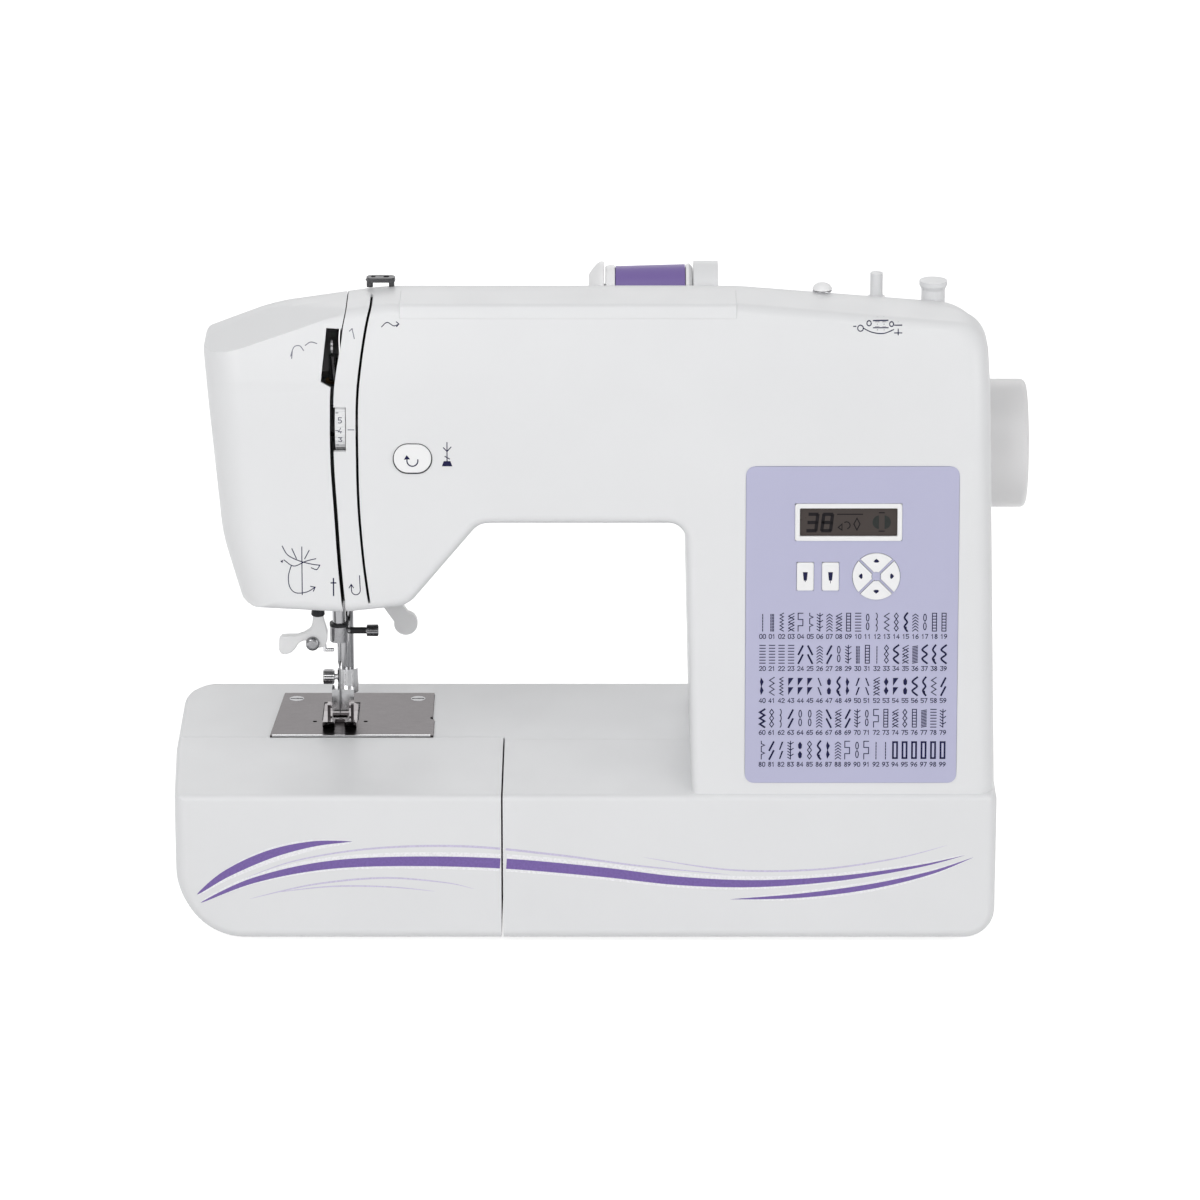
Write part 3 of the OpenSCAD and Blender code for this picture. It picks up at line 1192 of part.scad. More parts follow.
module tension_dial() color(white) along_x(dial_x - dial_w / 2, dial_y, dial_z) difference() {
  cylinder(r = dial_r, h = dial_w);
  translate([0, 0, -1]) cylinder(d = 6.1, h = dial_w + 2);
  for (a = [0:12:348]) rotate(a) translate([dial_r + 0.5, 0, -1]) cylinder(r = 0.8, h = dial_w + 2, $fn = 16);
}
module tension_discs() color(steel) {
  along_x(dial_x - dial_w / 2, dial_y, dial_z) cylinder(d = 6, h = 14.3);
  for (x = [dial_x + 4.2, dial_x + 6.2]) along_x(x, dial_y, dial_z) difference() {
    cylinder(r = 8.5, h = 1);
    translate([0, 0, -1]) cylinder(d = 6 - eps, h = 5);
  }
  box([dial_x + 10, dial_x + 12], [dial_y - 6, presser_y - 4], [dial_z - 5, dial_z + 5]);
}
guide_at = [needle_x + 19, parting_y - 4];
module thread_guides() color([0.75, 0.75, 0.77]) {
  translate([guide_at.x, guide_at.y, arm_top]) {
    translate([0, 0, -1]) cylinder(d = 2.6, h = 3.7);
    translate([7, 0, -0.75]) cylinder(d = 2.2, h = 3.45);
    translate([0, 0, 2.6]) linear_extrude(1.2) difference() {
      union() {
        circle(3);
        polygon([[0, -3], [7, -3], [7, 3], [0, 3]]);
        translate([7, 0]) circle(3);
      }
      circle(1.1);
      translate([6, 0]) circle(1.4);
    }
  }
  // Small disc that tensions the thread on its way to the winder
  translate([winder_x - 25.6, parting_y - 4, arm_top - 3.5]) {
    cylinder(d = 4, h = 0.6);
    translate([0, 0, 0.4]) difference() {
      sphere(4.6);
      translate([-6, -6, -7]) cube([12, 12, 7]);
    }
  }
}
module spool_holder() color(white) {
  along_x(trough_x[1] - 11.5, spool_y, spool_z) cylinder(d = 27, h = 11.5);
  along_x(spool_x - 9, spool_y, spool_z) cylinder(d = 5.4, h = trough_x[1] - spool_x - 2);
}
module thread_spool() {
  difference() {
    union() {
      color(purple) along_x(spool_x, spool_y, spool_z) cylinder(d = spool_d, h = spool_l);
      color(white) {
        along_x(spool_x - 2, spool_y, spool_z) cylinder(d1 = spool_d - 2, d2 = spool_d - 1, h = 2 + eps);
        along_x(spool_x + spool_l - eps, spool_y, spool_z) cylinder(d1 = spool_d + 1, d2 = spool_d - 3, h = 3.4);
      }
    }
    along_x(spool_x - 5, spool_y, spool_z) cylinder(d = 6.2, h = spool_l + 20);
  }
}
module spool_cap() color(white) along_x(spool_x - 2.5, spool_y, spool_z) mirror([0, 0, 1]) difference() {
  union() {
    cylinder(d = 26.6, h = 2.4);
    translate([0, 0, 2.3]) cylinder(d1 = 26, d2 = 16, h = 5);
  }
  translate([0, 0, -1]) cylinder(d = 5.5, h = 8.3);
}
carriage_z = arm_top - 36;
module winder_carriage() color(white) translate([winder_x, winder_y, carriage_z]) difference() {
  union() {
    translate([-9, -9, 0]) cube([20, 18, 3]);
    cylinder(d = 12, h = 12);
  }
  translate([0, 0, -1]) cylinder(d = 5 + 2 * fit, h = 20);
}
module winder_spindle() color(white) translate([winder_x, winder_y, 0]) {
  translate([0, 0, carriage_z - 12]) cylinder(d = 5, h = 27);
  translate([0, 0, carriage_z - 12]) cylinder(r = 8, h = 7);
  translate([0, 0, carriage_z + 12.4]) cylinder(d = 8, h = arm_top - 12 - carriage_z - 12.4);
  difference() {
    translate([0, 0, arm_top - 12 - eps]) cylinder(d = spindle_d, h = winder_top - arm_top + 12);
    translate([1.2, -0.5, winder_top - 9]) cube([4, 1, 10]);
  }
  translate([0, 0, arm_top - 12.01]) cylinder(d = 8.4, h = 1.2);
}
module winder_stopper() color(white) translate([x1 - 29, winder_y - 4, 0]) {
  translate([0, 0, carriage_z - gap]) cylinder(d = 11, h = arm_top - 6 - carriage_z + gap + eps);
  translate([0, 0, arm_top - 6]) cylinder(d1 = 11, d2 = 13, h = 2);
  translate([0, 0, arm_top - 4 - eps]) cylinder(d = 13, h = 2);
}

// ---- Handle, lamp, sockets, switch and screws

module carrying_handle() color(white) {
  arm_l = 50;
  for (x = [handle_x[0], handle_x[1] - 18]) {
    along_x(x, handle_y, handle_z) cylinder(r = 6, h = 6);
    box([x, x + 6], [handle_y - 3, handle_y + 3], [handle_z - arm_l, handle_z]);
  }
  for (x = [handle_x[0] - 5.6, handle_x[1] - 12.4]) along_x(x, handle_y, handle_z) cylinder(d = 6, h = 6);
  along_x(handle_x[0], handle_y, handle_z - arm_l) cylinder(r = handle_bar_r, h = handle_x[1] - 12 - handle_x[0]);
}
module led_lamp() color([0.95, 0.95, 0.9]) {
  translate([needle_x - 17, presser_y - 4, lower_guide_z - 3]) {
    translate([0, 0, 0]) cube([9, 12, 3]);
    for (y = [3, 9]) translate([4.5, y, -1.4]) cylinder(d = 4, h = 1.5);
  }
}
pin_d = 3.6;
jack_d = 8;
module power_socket() color(dark) {
  for (y = [4, 14]) along_x(x1 - 16.5, socket_y + y, socket_z[1] - 9) cylinder(d = pin_d - 1.2, h = 9);
  // Pin that the switch rocks on
  along_y(x1 - 11, switch_y - 8, switch_z) cylinder(d = 2.9, h = socket_y - 4 + eps - switch_y + 8);
  difference() {
    union() {
      box([x1 - socket_depth + gap, x1 - 4], [socket_y - 4, socket_y + 22.6], [socket_z[0] + gap, socket_z[1] - gap]);
      box([x1 - socket_depth + gap, x1 - socket_depth + 4], [socket_y - 22.6, socket_y - 4 + eps],
        [socket_z[0] + gap, socket_z[1] - gap]);
    }
    box([x1 - 16, x1], [socket_y - 1, socket_y + 19], [socket_z[0] + 13, socket_z[1] - 3]);
    along_x(x1 - 18, socket_y + 9, socket_z[0] + 7) cylinder(d = jack_d, h = 30);
  }
}
switch_y = socket_y - 14;
switch_z = (socket_z[0] + socket_z[1]) / 2;
module power_switch() color(dark) difference() {
  translate([x1 - 11, switch_y, switch_z]) rotate([90, 0, 0]) linear_extrude(13, center = true)
    polygon([[-4, -9], [6.2, -9.6], [5, 0], [8, 9.6], [-4, 9], [-6, 0]]);
  translate([x1 - 11, switch_y, switch_z]) rotate([90, 0, 0]) cylinder(d = 3, h = 30, center = true);
}
module screw_head() {
  difference() {
    cylinder(d = screw_head_d, h = 2.4);
    for (a = [0, 90]) rotate(a) translate([-2, -0.5, 1.2]) cube([4, 1, 2]);
  }
}
module screws() color(steel) {
  for (p = rear_screws) translate([p.x, screw_seat_y, p.y]) rotate([-90, 0, 0]) {
    screw_head();
    translate([0, 0, -20]) cylinder(d = screw_d - 0.6, h = 20 + eps);
  }
  for (p = base_screws) translate([p.x, p.y, foot_h + 1.6]) {
    mirror([0, 0, 1]) cylinder(d = 4.2, h = 2.4);
    translate([0, 0, -eps]) cylinder(d = screw_d - 0.6, h = 10);
  }
  for (p = plate_screw_at) translate([p.x, p.y, plate_top - 0.9]) difference() {
    union() {
      cylinder(d1 = screw_d - 0.4, d2 = screw_head_d, h = 0.9);
      translate([0, 0, -8]) cylinder(d = screw_d - 0.6, h = 8 + eps);
    }
    translate([-3, -0.5, 0.5]) cube([6, 1, 1]);
  }
}

base_plate();
front_housing();
rear_housing();
face_cover();
free_arm_shell();
control_panel();
lcd_bezel();
lcd_screen();
control_board();
needle_plate();
screws();
rubber_feet();
machine_frame();
bushes();
drive_motor();
stepper_motors();
motor_belt();
timing_belt();
hook_race();
tension_discs();
thread_guides();
led_lamp();
power_socket();
winder_stopper();
spool_holder();
bobbin_case();
handwheel();
main_shaft();
shaft_pulleys();
motor_pulley();
lower_shaft();
shuttle_hook();
bobbin();
needle_bar();
needle_clamp();
needle();
take_up_lever();
presser_bar();
foot_holder();
presser_foot();
presser_lever();
needle_threader();
reverse_button();
left_button();
right_button();
arrow_up();
arrow_down();
arrow_left();
arrow_right();
tension_dial();
winder_carriage();
winder_spindle();
thread_spool();
spool_cap();
carrying_handle();
extension_table();
bobbin_door();
feed_dog();
feed_drop_lever();
power_switch();
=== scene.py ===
# Sewing machine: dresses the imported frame. Lengths are millimetres until a mesh is made.
import math

import bmesh
import bpy
from mathutils import Matrix, Vector
from mathutils.bvhtree import BVHTree


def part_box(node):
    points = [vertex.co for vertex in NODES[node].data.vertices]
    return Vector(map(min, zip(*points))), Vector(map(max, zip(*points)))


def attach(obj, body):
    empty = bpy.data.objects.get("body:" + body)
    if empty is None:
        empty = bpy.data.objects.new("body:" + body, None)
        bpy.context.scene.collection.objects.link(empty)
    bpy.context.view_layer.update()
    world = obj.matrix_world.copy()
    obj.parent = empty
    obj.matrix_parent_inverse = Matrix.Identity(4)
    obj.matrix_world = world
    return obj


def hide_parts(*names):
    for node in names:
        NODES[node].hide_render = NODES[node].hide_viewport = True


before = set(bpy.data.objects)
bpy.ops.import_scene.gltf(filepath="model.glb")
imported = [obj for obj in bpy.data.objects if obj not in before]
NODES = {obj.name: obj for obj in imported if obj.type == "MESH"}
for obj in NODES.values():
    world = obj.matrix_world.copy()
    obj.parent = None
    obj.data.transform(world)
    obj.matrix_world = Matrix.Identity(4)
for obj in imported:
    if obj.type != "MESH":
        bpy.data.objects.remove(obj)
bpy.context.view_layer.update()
MM = 0.001

# ---- Sizes shared with the CAD model

X0, X1, Y0, Y1 = -198.5, 182.5, -80, 80
BED, TOP, UNDER, CREASE, WALL = 74, 297.5, 199, 262, 2.5
LEAN_LOW, LEAN_HIGH = 22, 13
COLUMN_X, BACK_Y, FRONT_Y, PART_Y = 40.5, 60, -77, -4
BASE_X, TABLE_BACK, ARM_FRONT = -44.7, -1.8, -1
FOOT_H, ARM_LOW = 3, 20
NX, NY = -122.9, 20.1
PLATE_TOP = 74.8
HEAD_UNDER, DIAG_X, THROAT_X = 157.5, -88, -55
CROWN_Y, CROWN_R, CROWN_TURN = -16, 45, math.radians(50)
PANEL_X, PANEL_Z = 115, 152.9
LEAN = math.atan(LEAN_LOW / (CREASE - BED))
SHAFT_Z = 212.5
SPOOL_X, SPOOL_Y, SPOOL_Z = X0 + 203, NY + 8, TOP - 13
TROUGH_X, TROUGH_R, TROUGH_L = X0 + 183, 16.5, 70.2
WELL_Y, WELL_Z, WELL_DEPTH = (5.1, 51.1), (17, 45), 24
WINDER_X, WINDER_Y = X1 - 55, NY - 10
HANDLE_Y, HANDLE_Z, HANDLE_XS = BACK_Y + 6, TOP - 54, (X0 + 120, X0 + 296)
REAR_SCREWS = [(BASE_X + 52, BED - 16), (X1 - 26, BED - 16), (X1 - 14, TOP - 108), (NX + 52, TOP - 72)]
LCD = (113.2, 201.1)
KEY_Z, KEY_XS, PAD_X, PAD_R = 175.9, (93.6, 105.1), 126, 10.8
BUTTON = (NX + 37.7, TOP - 67.7)
DIAL_X, DIAL_Y, DIAL_Z, DIAL_R = NX + 4.9, -45.6, TOP - 54.4, 12.55
CLAMP_Z, THREAD_X, THREAD_Y = 114.8, -132.6, 17.1
PRESSER_X, PRESSER_Y = -119.5, 31.1
TABLE_X1 = BASE_X - 0.8


def front_at(z):
    """Depth of the leaning front, which folds back further above the crease."""
    y = FRONT_Y + LEAN_LOW * (z - BED) / (CREASE - BED)
    if z > CREASE:
        y += (LEAN_HIGH / (TOP - CREASE) - LEAN_LOW / (CREASE - BED)) * (z - CREASE)
    return y


# ---- Mesh helpers

scene = bpy.context.scene


def new_object(name, data):
    obj = bpy.data.objects.new(name, data)
    scene.collection.objects.link(obj)
    return obj


def from_lists(name, verts, faces):
    mesh = bpy.data.meshes.new(name)
    mesh.from_pydata([tuple(c * MM for c in v) for v in verts], [], faces)
    mesh.validate()
    mesh.update()
    return new_object(name, mesh)


def edit(obj, change):
    """Runs change(bm) on the object's mesh."""
    bm = bmesh.new()
    bm.from_mesh(obj.data)
    change(bm)
    bm.to_mesh(obj.data)
    bm.free()
    return obj


def closed(name, verts, faces):
    """Closed mesh whose faces all look outwards."""
    return edit(from_lists(name, verts, faces), lambda bm: bmesh.ops.recalc_face_normals(bm, faces=bm.faces))


def bake(obj):
    """Applies the object's modifiers to its mesh."""
    graph = bpy.context.evaluated_depsgraph_get()
    graph.update()
    mesh = bpy.data.meshes.new_from_object(obj.evaluated_get(graph))
    old = obj.data
    obj.modifiers.clear()
    obj.data = mesh
    mesh.name = old.name
    bpy.data.meshes.remove(old)
    return obj


def combine(obj, others, operation="DIFFERENCE"):
    """Boolean with each of the others, which are used up."""
    for other in others:
        mod = obj.modifiers.new("cut", "BOOLEAN")
        mod.solver = "MANIFOLD"
        mod.operation = operation
        mod.object = other
        bake(obj)
        bpy.data.meshes.remove(other.data)
    return obj


def bands(rows, n):
    """Faces between closed rows of n points."""
    return [(k * n + i, k * n + (i + 1) % n, (k + 1) * n + (i + 1) % n, (k + 1) * n + i)
            for k in range(rows - 1) for i in range(n)]


def along(axis, w, u, v):
    return {"x": (w, u, v), "y": (u, w, v), "z": (u, v, w)}[axis]


def prism(points, axis, low, high):
    """Closed prism of a 2D outline, pushed along an axis between two places."""
    n = len(points)
    faces = [tuple(range(n)), tuple(range(2 * n - 1, n - 1, -1))]
    faces += [(i, i + n, (i + 1) % n + n, (i + 1) % n) for i in range(n)]
    return closed("prism", [along(axis, w, u, v) for w in (low, high) for u, v in points], faces)


def round_points(u, v, r, n=48):
    return [(u + r * math.cos(2 * math.pi * i / n), v + r * math.sin(2 * math.pi * i / n)) for i in range(n)]


def arc_line(cx, cz, r, a0, a1, n=14):
    turns = [math.radians(a0 + (a1 - a0) * i / n) for i in range(n + 1)]
    return [(cx + r * math.cos(t), cz + r * math.sin(t)) for t in turns]


def stadium(u0, u1, v0, v1, r, n=12):
    """Rectangle with rounded corners."""
    middles = ((u1 - r, v1 - r), (u0 + r, v1 - r), (u0 + r, v0 + r), (u1 - r, v0 + r))
    return [p for k, (u, v) in enumerate(middles) for p in arc_line(u, v, r, 90 * k, 90 * k + 90, n)]


def oval_points(rx, rz):
    return arc_line(rx - rz, 0, rz, -90, 90, 20) + arc_line(rz - rx, 0, rz, 90, 270, 20)


def curve(points, n=6):
    """Smooth line through points."""
    out = []
    for i in range(len(points) - 1):
        p0, p1 = points[max(0, i - 1)], points[i]
        p2, p3 = points[i + 1], points[min(len(points) - 1, i + 2)]
        for t in (k / n for k in range(n)):
            out.append(tuple(
                0.5 * (2 * p1[c] + (p2[c] - p0[c]) * t + (2 * p0[c] - 5 * p1[c] + 4 * p2[c] - p3[c]) * t * t
                       + (3 * p1[c] - p0[c] - 3 * p2[c] + p3[c]) * t ** 3) for c in (0, 1)))
    return out + [points[-1]]


def box_cut(x, y, z):
    return prism([(x[0], y[0]), (x[1], y[0]), (x[1], y[1]), (x[0], y[1])], "z", z[0], z[1])


def cylinder(axis, x, y, z, r, length, n=48):
    u, v, low = {"x": (y, z, x), "y": (x, z, y), "z": (x, y, z)}[axis]
    return prism(round_points(u, v, r, n), axis, low, low + length)


def at_front(x, z, depth=0):
    """Frame on the leaning front, z outwards and y up."""
    m = Matrix.Translation(Vector((x, front_at(z) + depth, z)) * MM)
    return m @ Matrix.Rotation(math.radians(90) - LEAN, 4, "X")


PANEL = at_front(PANEL_X, PANEL_Z)


def on_panel(x, z):
    return PANEL @ Matrix.Translation(Vector((x - PANEL_X, z - PANEL_Z, 0)) * MM)


def push(points, low, high, matrix):
    obj = prism(points, "z", low, high)
    obj.data.transform(matrix)
    return obj


def smooth(obj, angle=32):
    """Smooth shading that keeps the edges above an angle sharp."""
    def shade(bm):
        for face in bm.faces:
            face.smooth = True
        for edge in bm.edges:
            edge.smooth = len(edge.link_faces) == 2 and edge.calc_face_angle(0) < math.radians(angle)

    edit(obj, shade)
    obj.modifiers.new("normals", "WEIGHTED_NORMAL").keep_sharp = True
    return obj


def soften(obj, width, angle=35):
    """Rounds the edges that are sharper than an angle."""
    mod = obj.modifiers.new("edges", "BEVEL")
    mod.width, mod.segments, mod.limit_method = width * MM, 3, "ANGLE"
    mod.angle_limit = math.radians(angle)
    return obj


# ---- Lofted mouldings, finer than the CAD solids


def roundover(r, t):
    """How far a rounded edge of radius r draws in at depth t."""
    return 0 if t >= r else r - math.sqrt(r * r - (r - t) ** 2)


def moved_corner(p, q, s, d1, d2):
    """Corner q after its two sides move in by d1 and d2."""
    u, v = (q - p).normalized(), (s - q).normalized()
    n1, n2 = Vector((-u.y, u.x)), Vector((-v.y, v.x))
    det = n1.x * n2.y - n1.y * n2.x
    a, b = q.dot(n1) + d1, q.dot(n2) + d2
    return Vector(((a * n2.y - b * n1.y) / det, (n1.x * b - n2.x * a) / det))


def corner_arc(p, q, s, r, steps):
    if steps == 0:
        return [q]
    u, v = (p - q).normalized(), (s - q).normalized()
    half = math.acos(max(-1, min(1, u.dot(v)))) / 2
    room = min((p - q).length, (s - q).length) * 0.48
    rad = min(r, room * math.tan(half))
    c = q + (u + v).normalized() * rad / math.sin(half)
    a = (q + u * rad / math.tan(half) - c) / rad
    b = (q + v * rad / math.tan(half) - c) / rad
    turn = math.pi - 2 * half
    pairs = [(math.sin(turn * (steps - i) / steps), math.sin(turn * i / steps)) for i in range(steps + 1)]
    return [c + (a * k + b * m) * rad / math.sin(turn) for k, m in pairs]


def ring(corners, insets, finer):
    """Outline of (x, z, radius, steps) corners after each side moves in by its inset."""
    n = len(corners)
    pts = [Vector(c[:2]) for c in corners]
    moved = [moved_corner(pts[j - 1], pts[j], pts[(j + 1) % n], insets[j - 1], insets[j]) for j in range(n)]
    out = []
    for j in range(n):
        d = (insets[j - 1] + insets[j]) / 2
        e1, e2 = pts[j] - pts[j - 1], pts[(j + 1) % n] - pts[j]
        convex = e1.x * e2.y - e1.y * e2.x > 0
        r = max(0.5, corners[j][2] + (-d if convex else d))
        out += corner_arc(moved[j - 1], moved[j], moved[(j + 1) % n], r, corners[j][3] * finer)
    return out


def loft(name, rings, fold=None):
    """Closed form through rings; fold gives the two points that the front face is folded between."""
    n = len(rings[0])
    faces = bands(len(rings), n)
    if fold:
        faces.append(tuple(range(fold[1], fold[0] - 1, -1)))
        faces.append(tuple(range(fold[0], -1, -1)) + tuple(range(n - 1, fold[1] - 1, -1)))
    else:
        faces.append(tuple(range(n - 1, -1, -1)))
    last = (len(rings) - 1) * n
    faces.append(tuple(range(last, last + n)))
    return closed(name, [p for r in rings for p in r], faces)


def crown_drop(y):
    """How far the rounded top of the arm has dropped at depth y."""
    run = CROWN_R * math.sin(CROWN_TURN)
    if y <= CROWN_Y:
        return 0
    if y - CROWN_Y < run:
        return CROWN_R - math.sqrt(CROWN_R ** 2 - (y - CROWN_Y) ** 2)
    return CROWN_R * (1 - math.cos(CROWN_TURN)) + (y - CROWN_Y - run) * math.tan(CROWN_TURN)


def arm_corners(fold_z):
    """Front view of the arm, from the foot of the column round to the throat."""
    return [
        (X1 - 0.6, BED - 14, 0, 0), (X1 - 5 - 5 * (fold_z - CREASE) / (CREASE - BED), fold_z, 0, 0),
        (X1 - 6.6, TOP - 9, 24, 8), (X1 - 120, TOP, 150, 3), (NX + 24, TOP, 130, 4),
        (X0 + 48.5, TOP - 7.5, 90, 2), (X0 + 17.4, TOP - 19.4, 5, 5),
        (X0 + 18.8 + 3.5 * (CREASE - fold_z) / 60, fold_z, 0, 0),
        (X0 + 25.8, HEAD_UNDER + 32, 80, 3), (X0 + 34.5, HEAD_UNDER + 2.5, 4, 5), (NX + 6, HEAD_UNDER, 60, 2),
        (DIAG_X, HEAD_UNDER + 3, 14, 5), (THROAT_X, UNDER, 10, 5), (COLUMN_X - 1.5, UNDER, 8, 6),
        (COLUMN_X + 2, BED - 14, 0, 0),
    ]


# Edge radii of the arm's sides in that order, and the sides that the crown lowers
FRONT_EDGES = [10, 10, 4.5, 4.5, 4.5, 4.5, 18, 18, 18, 6, 6, 5, 5, 4, 0]
BACK_EDGES = [14, 14, 8, 8, 8, 8, 16, 16, 16, 6, 6, 5, 5, 5, 0]
ON_TOP = [0, 0, 1, 1, 1, 1] + [0] * 9


def arm_insets(edges, t, y, inner):
    """Insets at depth t of the rounded edges; the last side lies inside the base and stays."""
    insets = [roundover(r, t) + inner for r in edges[:-1]] + [0]
    return [inset + lowered * crown_drop(y) for inset, lowered in zip(insets, ON_TOP)]


def arm_form(name, inner=0):
    """Arm and column, or their inside at a distance, with fewer rings."""
    if inner:
        fine, front, crown, back = 1, [0, 2, 7, 22], [-16, 0, 9, 18.5, 44], [9, 3, 0]
    else:
        fine, front = 3, [0, 0.12, 0.4, 0.9, 1.6, 2.5, 3.6, 5, 7, 9.5, 13, 17, 22]
        crown = [-16, -12, -8, -4, 0, 4, 8, 12, 15, 18.5, 25, 32, 44]
        back = [13, 10, 7, 5, 3.2, 1.8, 0.8, 0.25, 0]
    low, tall = arm_corners(CREASE), arm_corners(CREASE - 60)
    rings = []
    for t in front:
        pts = ring(low, arm_insets(FRONT_EDGES, t, CROWN_Y, inner), fine)
        rings.append([(p.x, front_at(p.y) + t + inner, p.y) for p in pts])
    depths = [(BACK_Y, y) for y in crown] + [(t, BACK_Y - inner - t) for t in back]
    for t, y in depths:
        rings.append([(p.x, y, p.y) for p in ring(tall, arm_insets(BACK_EDGES, t, y, inner), fine)])
    steps = [c[3] * fine for c in low]
    return loft(name, rings, (1, 1 + sum(s + 1 if s else 1 for s in steps[1:7])))


def bed_form(name, x, y, z, r, f, b, inner=0):
    """Low box. Corner radii r go round from right below by the top; f and b are the radii of the
    front and back edges on the right, top, left and bottom."""
    spots = zip((x[1], x[1], x[0], x[0]), (z[0], z[1], z[1], z[0]), r)
    corners = [(u, v, c, 0 if c == 0 else 3 if c < 5 else 7) for u, v, c in spots]
    fine, front = (1, [0, 2, 6]) if inner else (3, [0, 0.12, 0.4, 0.9, 1.6, 2.6, 3.8, 5, 6.2])
    if max(b) > 15:
        back = [30, 25, 20, 16, 12, 8.5, 5.6, 3.4, 1.8, 0.7, 0.2, 0]
    else:
        back = [12.5, 10, 7.5, 5.2, 3.4, 2, 1, 0.4, 0.1, 0]
    depths = [(f, t, y[0] + inner + t) for t in front] + [(b, t, y[1] - inner - t) for t in back]
    rings = []
    for edges, t, depth in depths:
        pts = ring(corners, [roundover(e, t) + inner for e in edges], fine)
        rings.append([(p.x, depth, p.y) for p in pts])
    return loft(name, rings)


def base_form(name, inner=0):
    return bed_form(name, (BASE_X, X1), (Y0 + 0.05, Y1), (FOOT_H, BED), [14, 3, 0, 0], [5, 3, 0, 5],
                    [12, 8, 0, 6], inner)


def free_arm_form(name, inner=0):
    return bed_form(name, (X0, BASE_X), (ARM_FRONT, Y1), (ARM_LOW, BED), [0, 0, 2, 12], [0, 1, 1, 1],
                    [0, 8, 30, 6], inner)


def soften_crease(obj, reach=22):
    """Turns the fold across the front into a long soft bend."""
    gain = LEAN_HIGH / (TOP - CREASE) - LEAN_LOW / (CREASE - BED)

    def bend(bm):
        for k in range(-6, 7):
            bmesh.ops.bisect_plane(bm, geom=bm.verts[:] + bm.edges[:] + bm.faces[:], dist=1e-7,
                                   plane_co=(0, 0, (CREASE + reach * k / 6) * MM), plane_no=(0, 0, 1))
        for v in bm.verts:
            above, forward = abs(v.co.z / MM - CREASE), -20 - v.co.y / MM
            if above < reach and forward > 0:
                v.co.y += gain * (reach - above) ** 2 / (4 * reach) * min(1, forward / 20) * MM

    return edit(obj, bend)


def head_slope(inner=0):
    """Everything above the plane on which the top of the head slopes to the front and to the left."""
    low = Vector((-190, front_at(270.5), 270.5))
    high = Vector((-125, front_at(291.2), 291.2))
    back = Vector((-150, -14, 290.6))
    u = (high - low).normalized()
    n = u.cross(back - low).normalized()
    v = n.cross(u)
    base = low - n * inner
    verts = [tuple(base + u * a + v * b + n * up)
             for up in (0, 60) for a, b in ((-60, -60), (260, -60), (260, 160), (-60, 160))]
    return closed("slope", verts, bands(2, 4) + [(3, 2, 1, 0), (4, 5, 6, 7)])


def arm_solid(name, inner=0):
    """The arm with its sloping head, or its inside at a distance."""
    obj = arm_form(name, inner)
    if inner < WALL:
        soften_crease(obj)
    return combine(obj, [head_slope(inner)])


# ---- Slots of the head, as (height, offset from the needle)

LEFT_SLOT = [(150, 6.8), (158, 6.2), (180, 4.2), (205, 2.6), (228, 1.2), (250, 1.1), (264, 1.7), (284, 5.2),
             (310, 11)]
RIGHT_SLOT = [(163, 17.6), (170, 16.6), (185, 14.8), (209, 13), (235, 12.5), (257, 12.7), (272, 14.2),
              (284, 16), (292, 17.6), (299, 19.6)]


def slot_line(points, low=0, high=400):
    """Middle of a slot as (x, z) points between two heights."""
    return [(NX + o, z) for z, o in curve(points) if low <= z <= high]


def widened(line, half):
    return [(x - half, z) for x, z in line] + [(x + half, z) for x, z in reversed(line)]


def slot_half(z):
    """Half the width of the left slot, which is only a parting line above the take-up window."""
    return 0.85 - 0.6 * max(0, min(1, (z - 283) / 3))


def left_of_slot(side):
    """The face cover's share of the head: a slot in front, a thin parting line behind."""
    line, corners = slot_line(LEFT_SLOT), [(X0 - 20, 310), (X0 - 20, 150)]
    share = prism([(x + side * slot_half(z), z) for x, z in line] + corners, "y", Y0 - 20, -10)
    behind = prism([(x + side * 0.25, z) for x, z in line] + corners, "y", -10.001, Y1 + 20)
    return combine(share, [behind], "UNION")


def head_mouth():
    return box_cut((NX - 24, DIAG_X - 4.5), (NY - 32, BACK_Y - 9), (HEAD_UNDER - 10, HEAD_UNDER + 20))


# ---- Materials


def feed(tree, node, inputs):
    """Links the inputs that are given a socket and sets the others."""
    for key, value in inputs.items():
        if isinstance(value, bpy.types.NodeSocket):
            tree.links.new(value, node.inputs[key])
        else:
            node.inputs[key].default_value = value


def add_node(tree, kind, inputs=None, **settings):
    node = tree.nodes.new("ShaderNode" + kind)
    for key, value in settings.items():
        setattr(node, key, value)
    feed(tree, node, inputs or {})
    return node


def math_node(tree, operation, a, b):
    return add_node(tree, "Math", {0: a, 1: b}, operation=operation).outputs[0]


def new_material(name, rgb, rough, metallic=0):
    mat = bpy.data.materials.new(name)
    mat.use_nodes = True
    tree = mat.node_tree
    shader = tree.nodes["Principled BSDF"]
    feed(tree, shader, {"Base Color": (*rgb, 1), "Roughness": rough, "Metallic": metallic})
    return mat, tree, shader


def noise(tree, scale, detail, stretch=None):
    spot = add_node(tree, "TexCoord").outputs["Object"]
    if stretch:
        spot = add_node(tree, "Mapping", {"Vector": spot, "Scale": stretch}).outputs["Vector"]
    return add_node(tree, "TexNoise", {"Vector": spot, "Scale": scale, "Detail": detail}).outputs["Fac"]


def ramp(tree, source, low, high):
    """Colours or greys spread over the middle of a noise."""
    node = add_node(tree, "ValToRGB", {"Fac": source})
    for stop, place, value in zip(node.color_ramp.elements, (0.3, 0.7), (low, high)):
        stop.position, stop.color = place, (*value, 1)
    return node.outputs["Color"]


def bump(tree, height, strength, distance):
    return add_node(tree, "Bump", {"Height": height, "Strength": strength, "Distance": distance}).outputs[0]


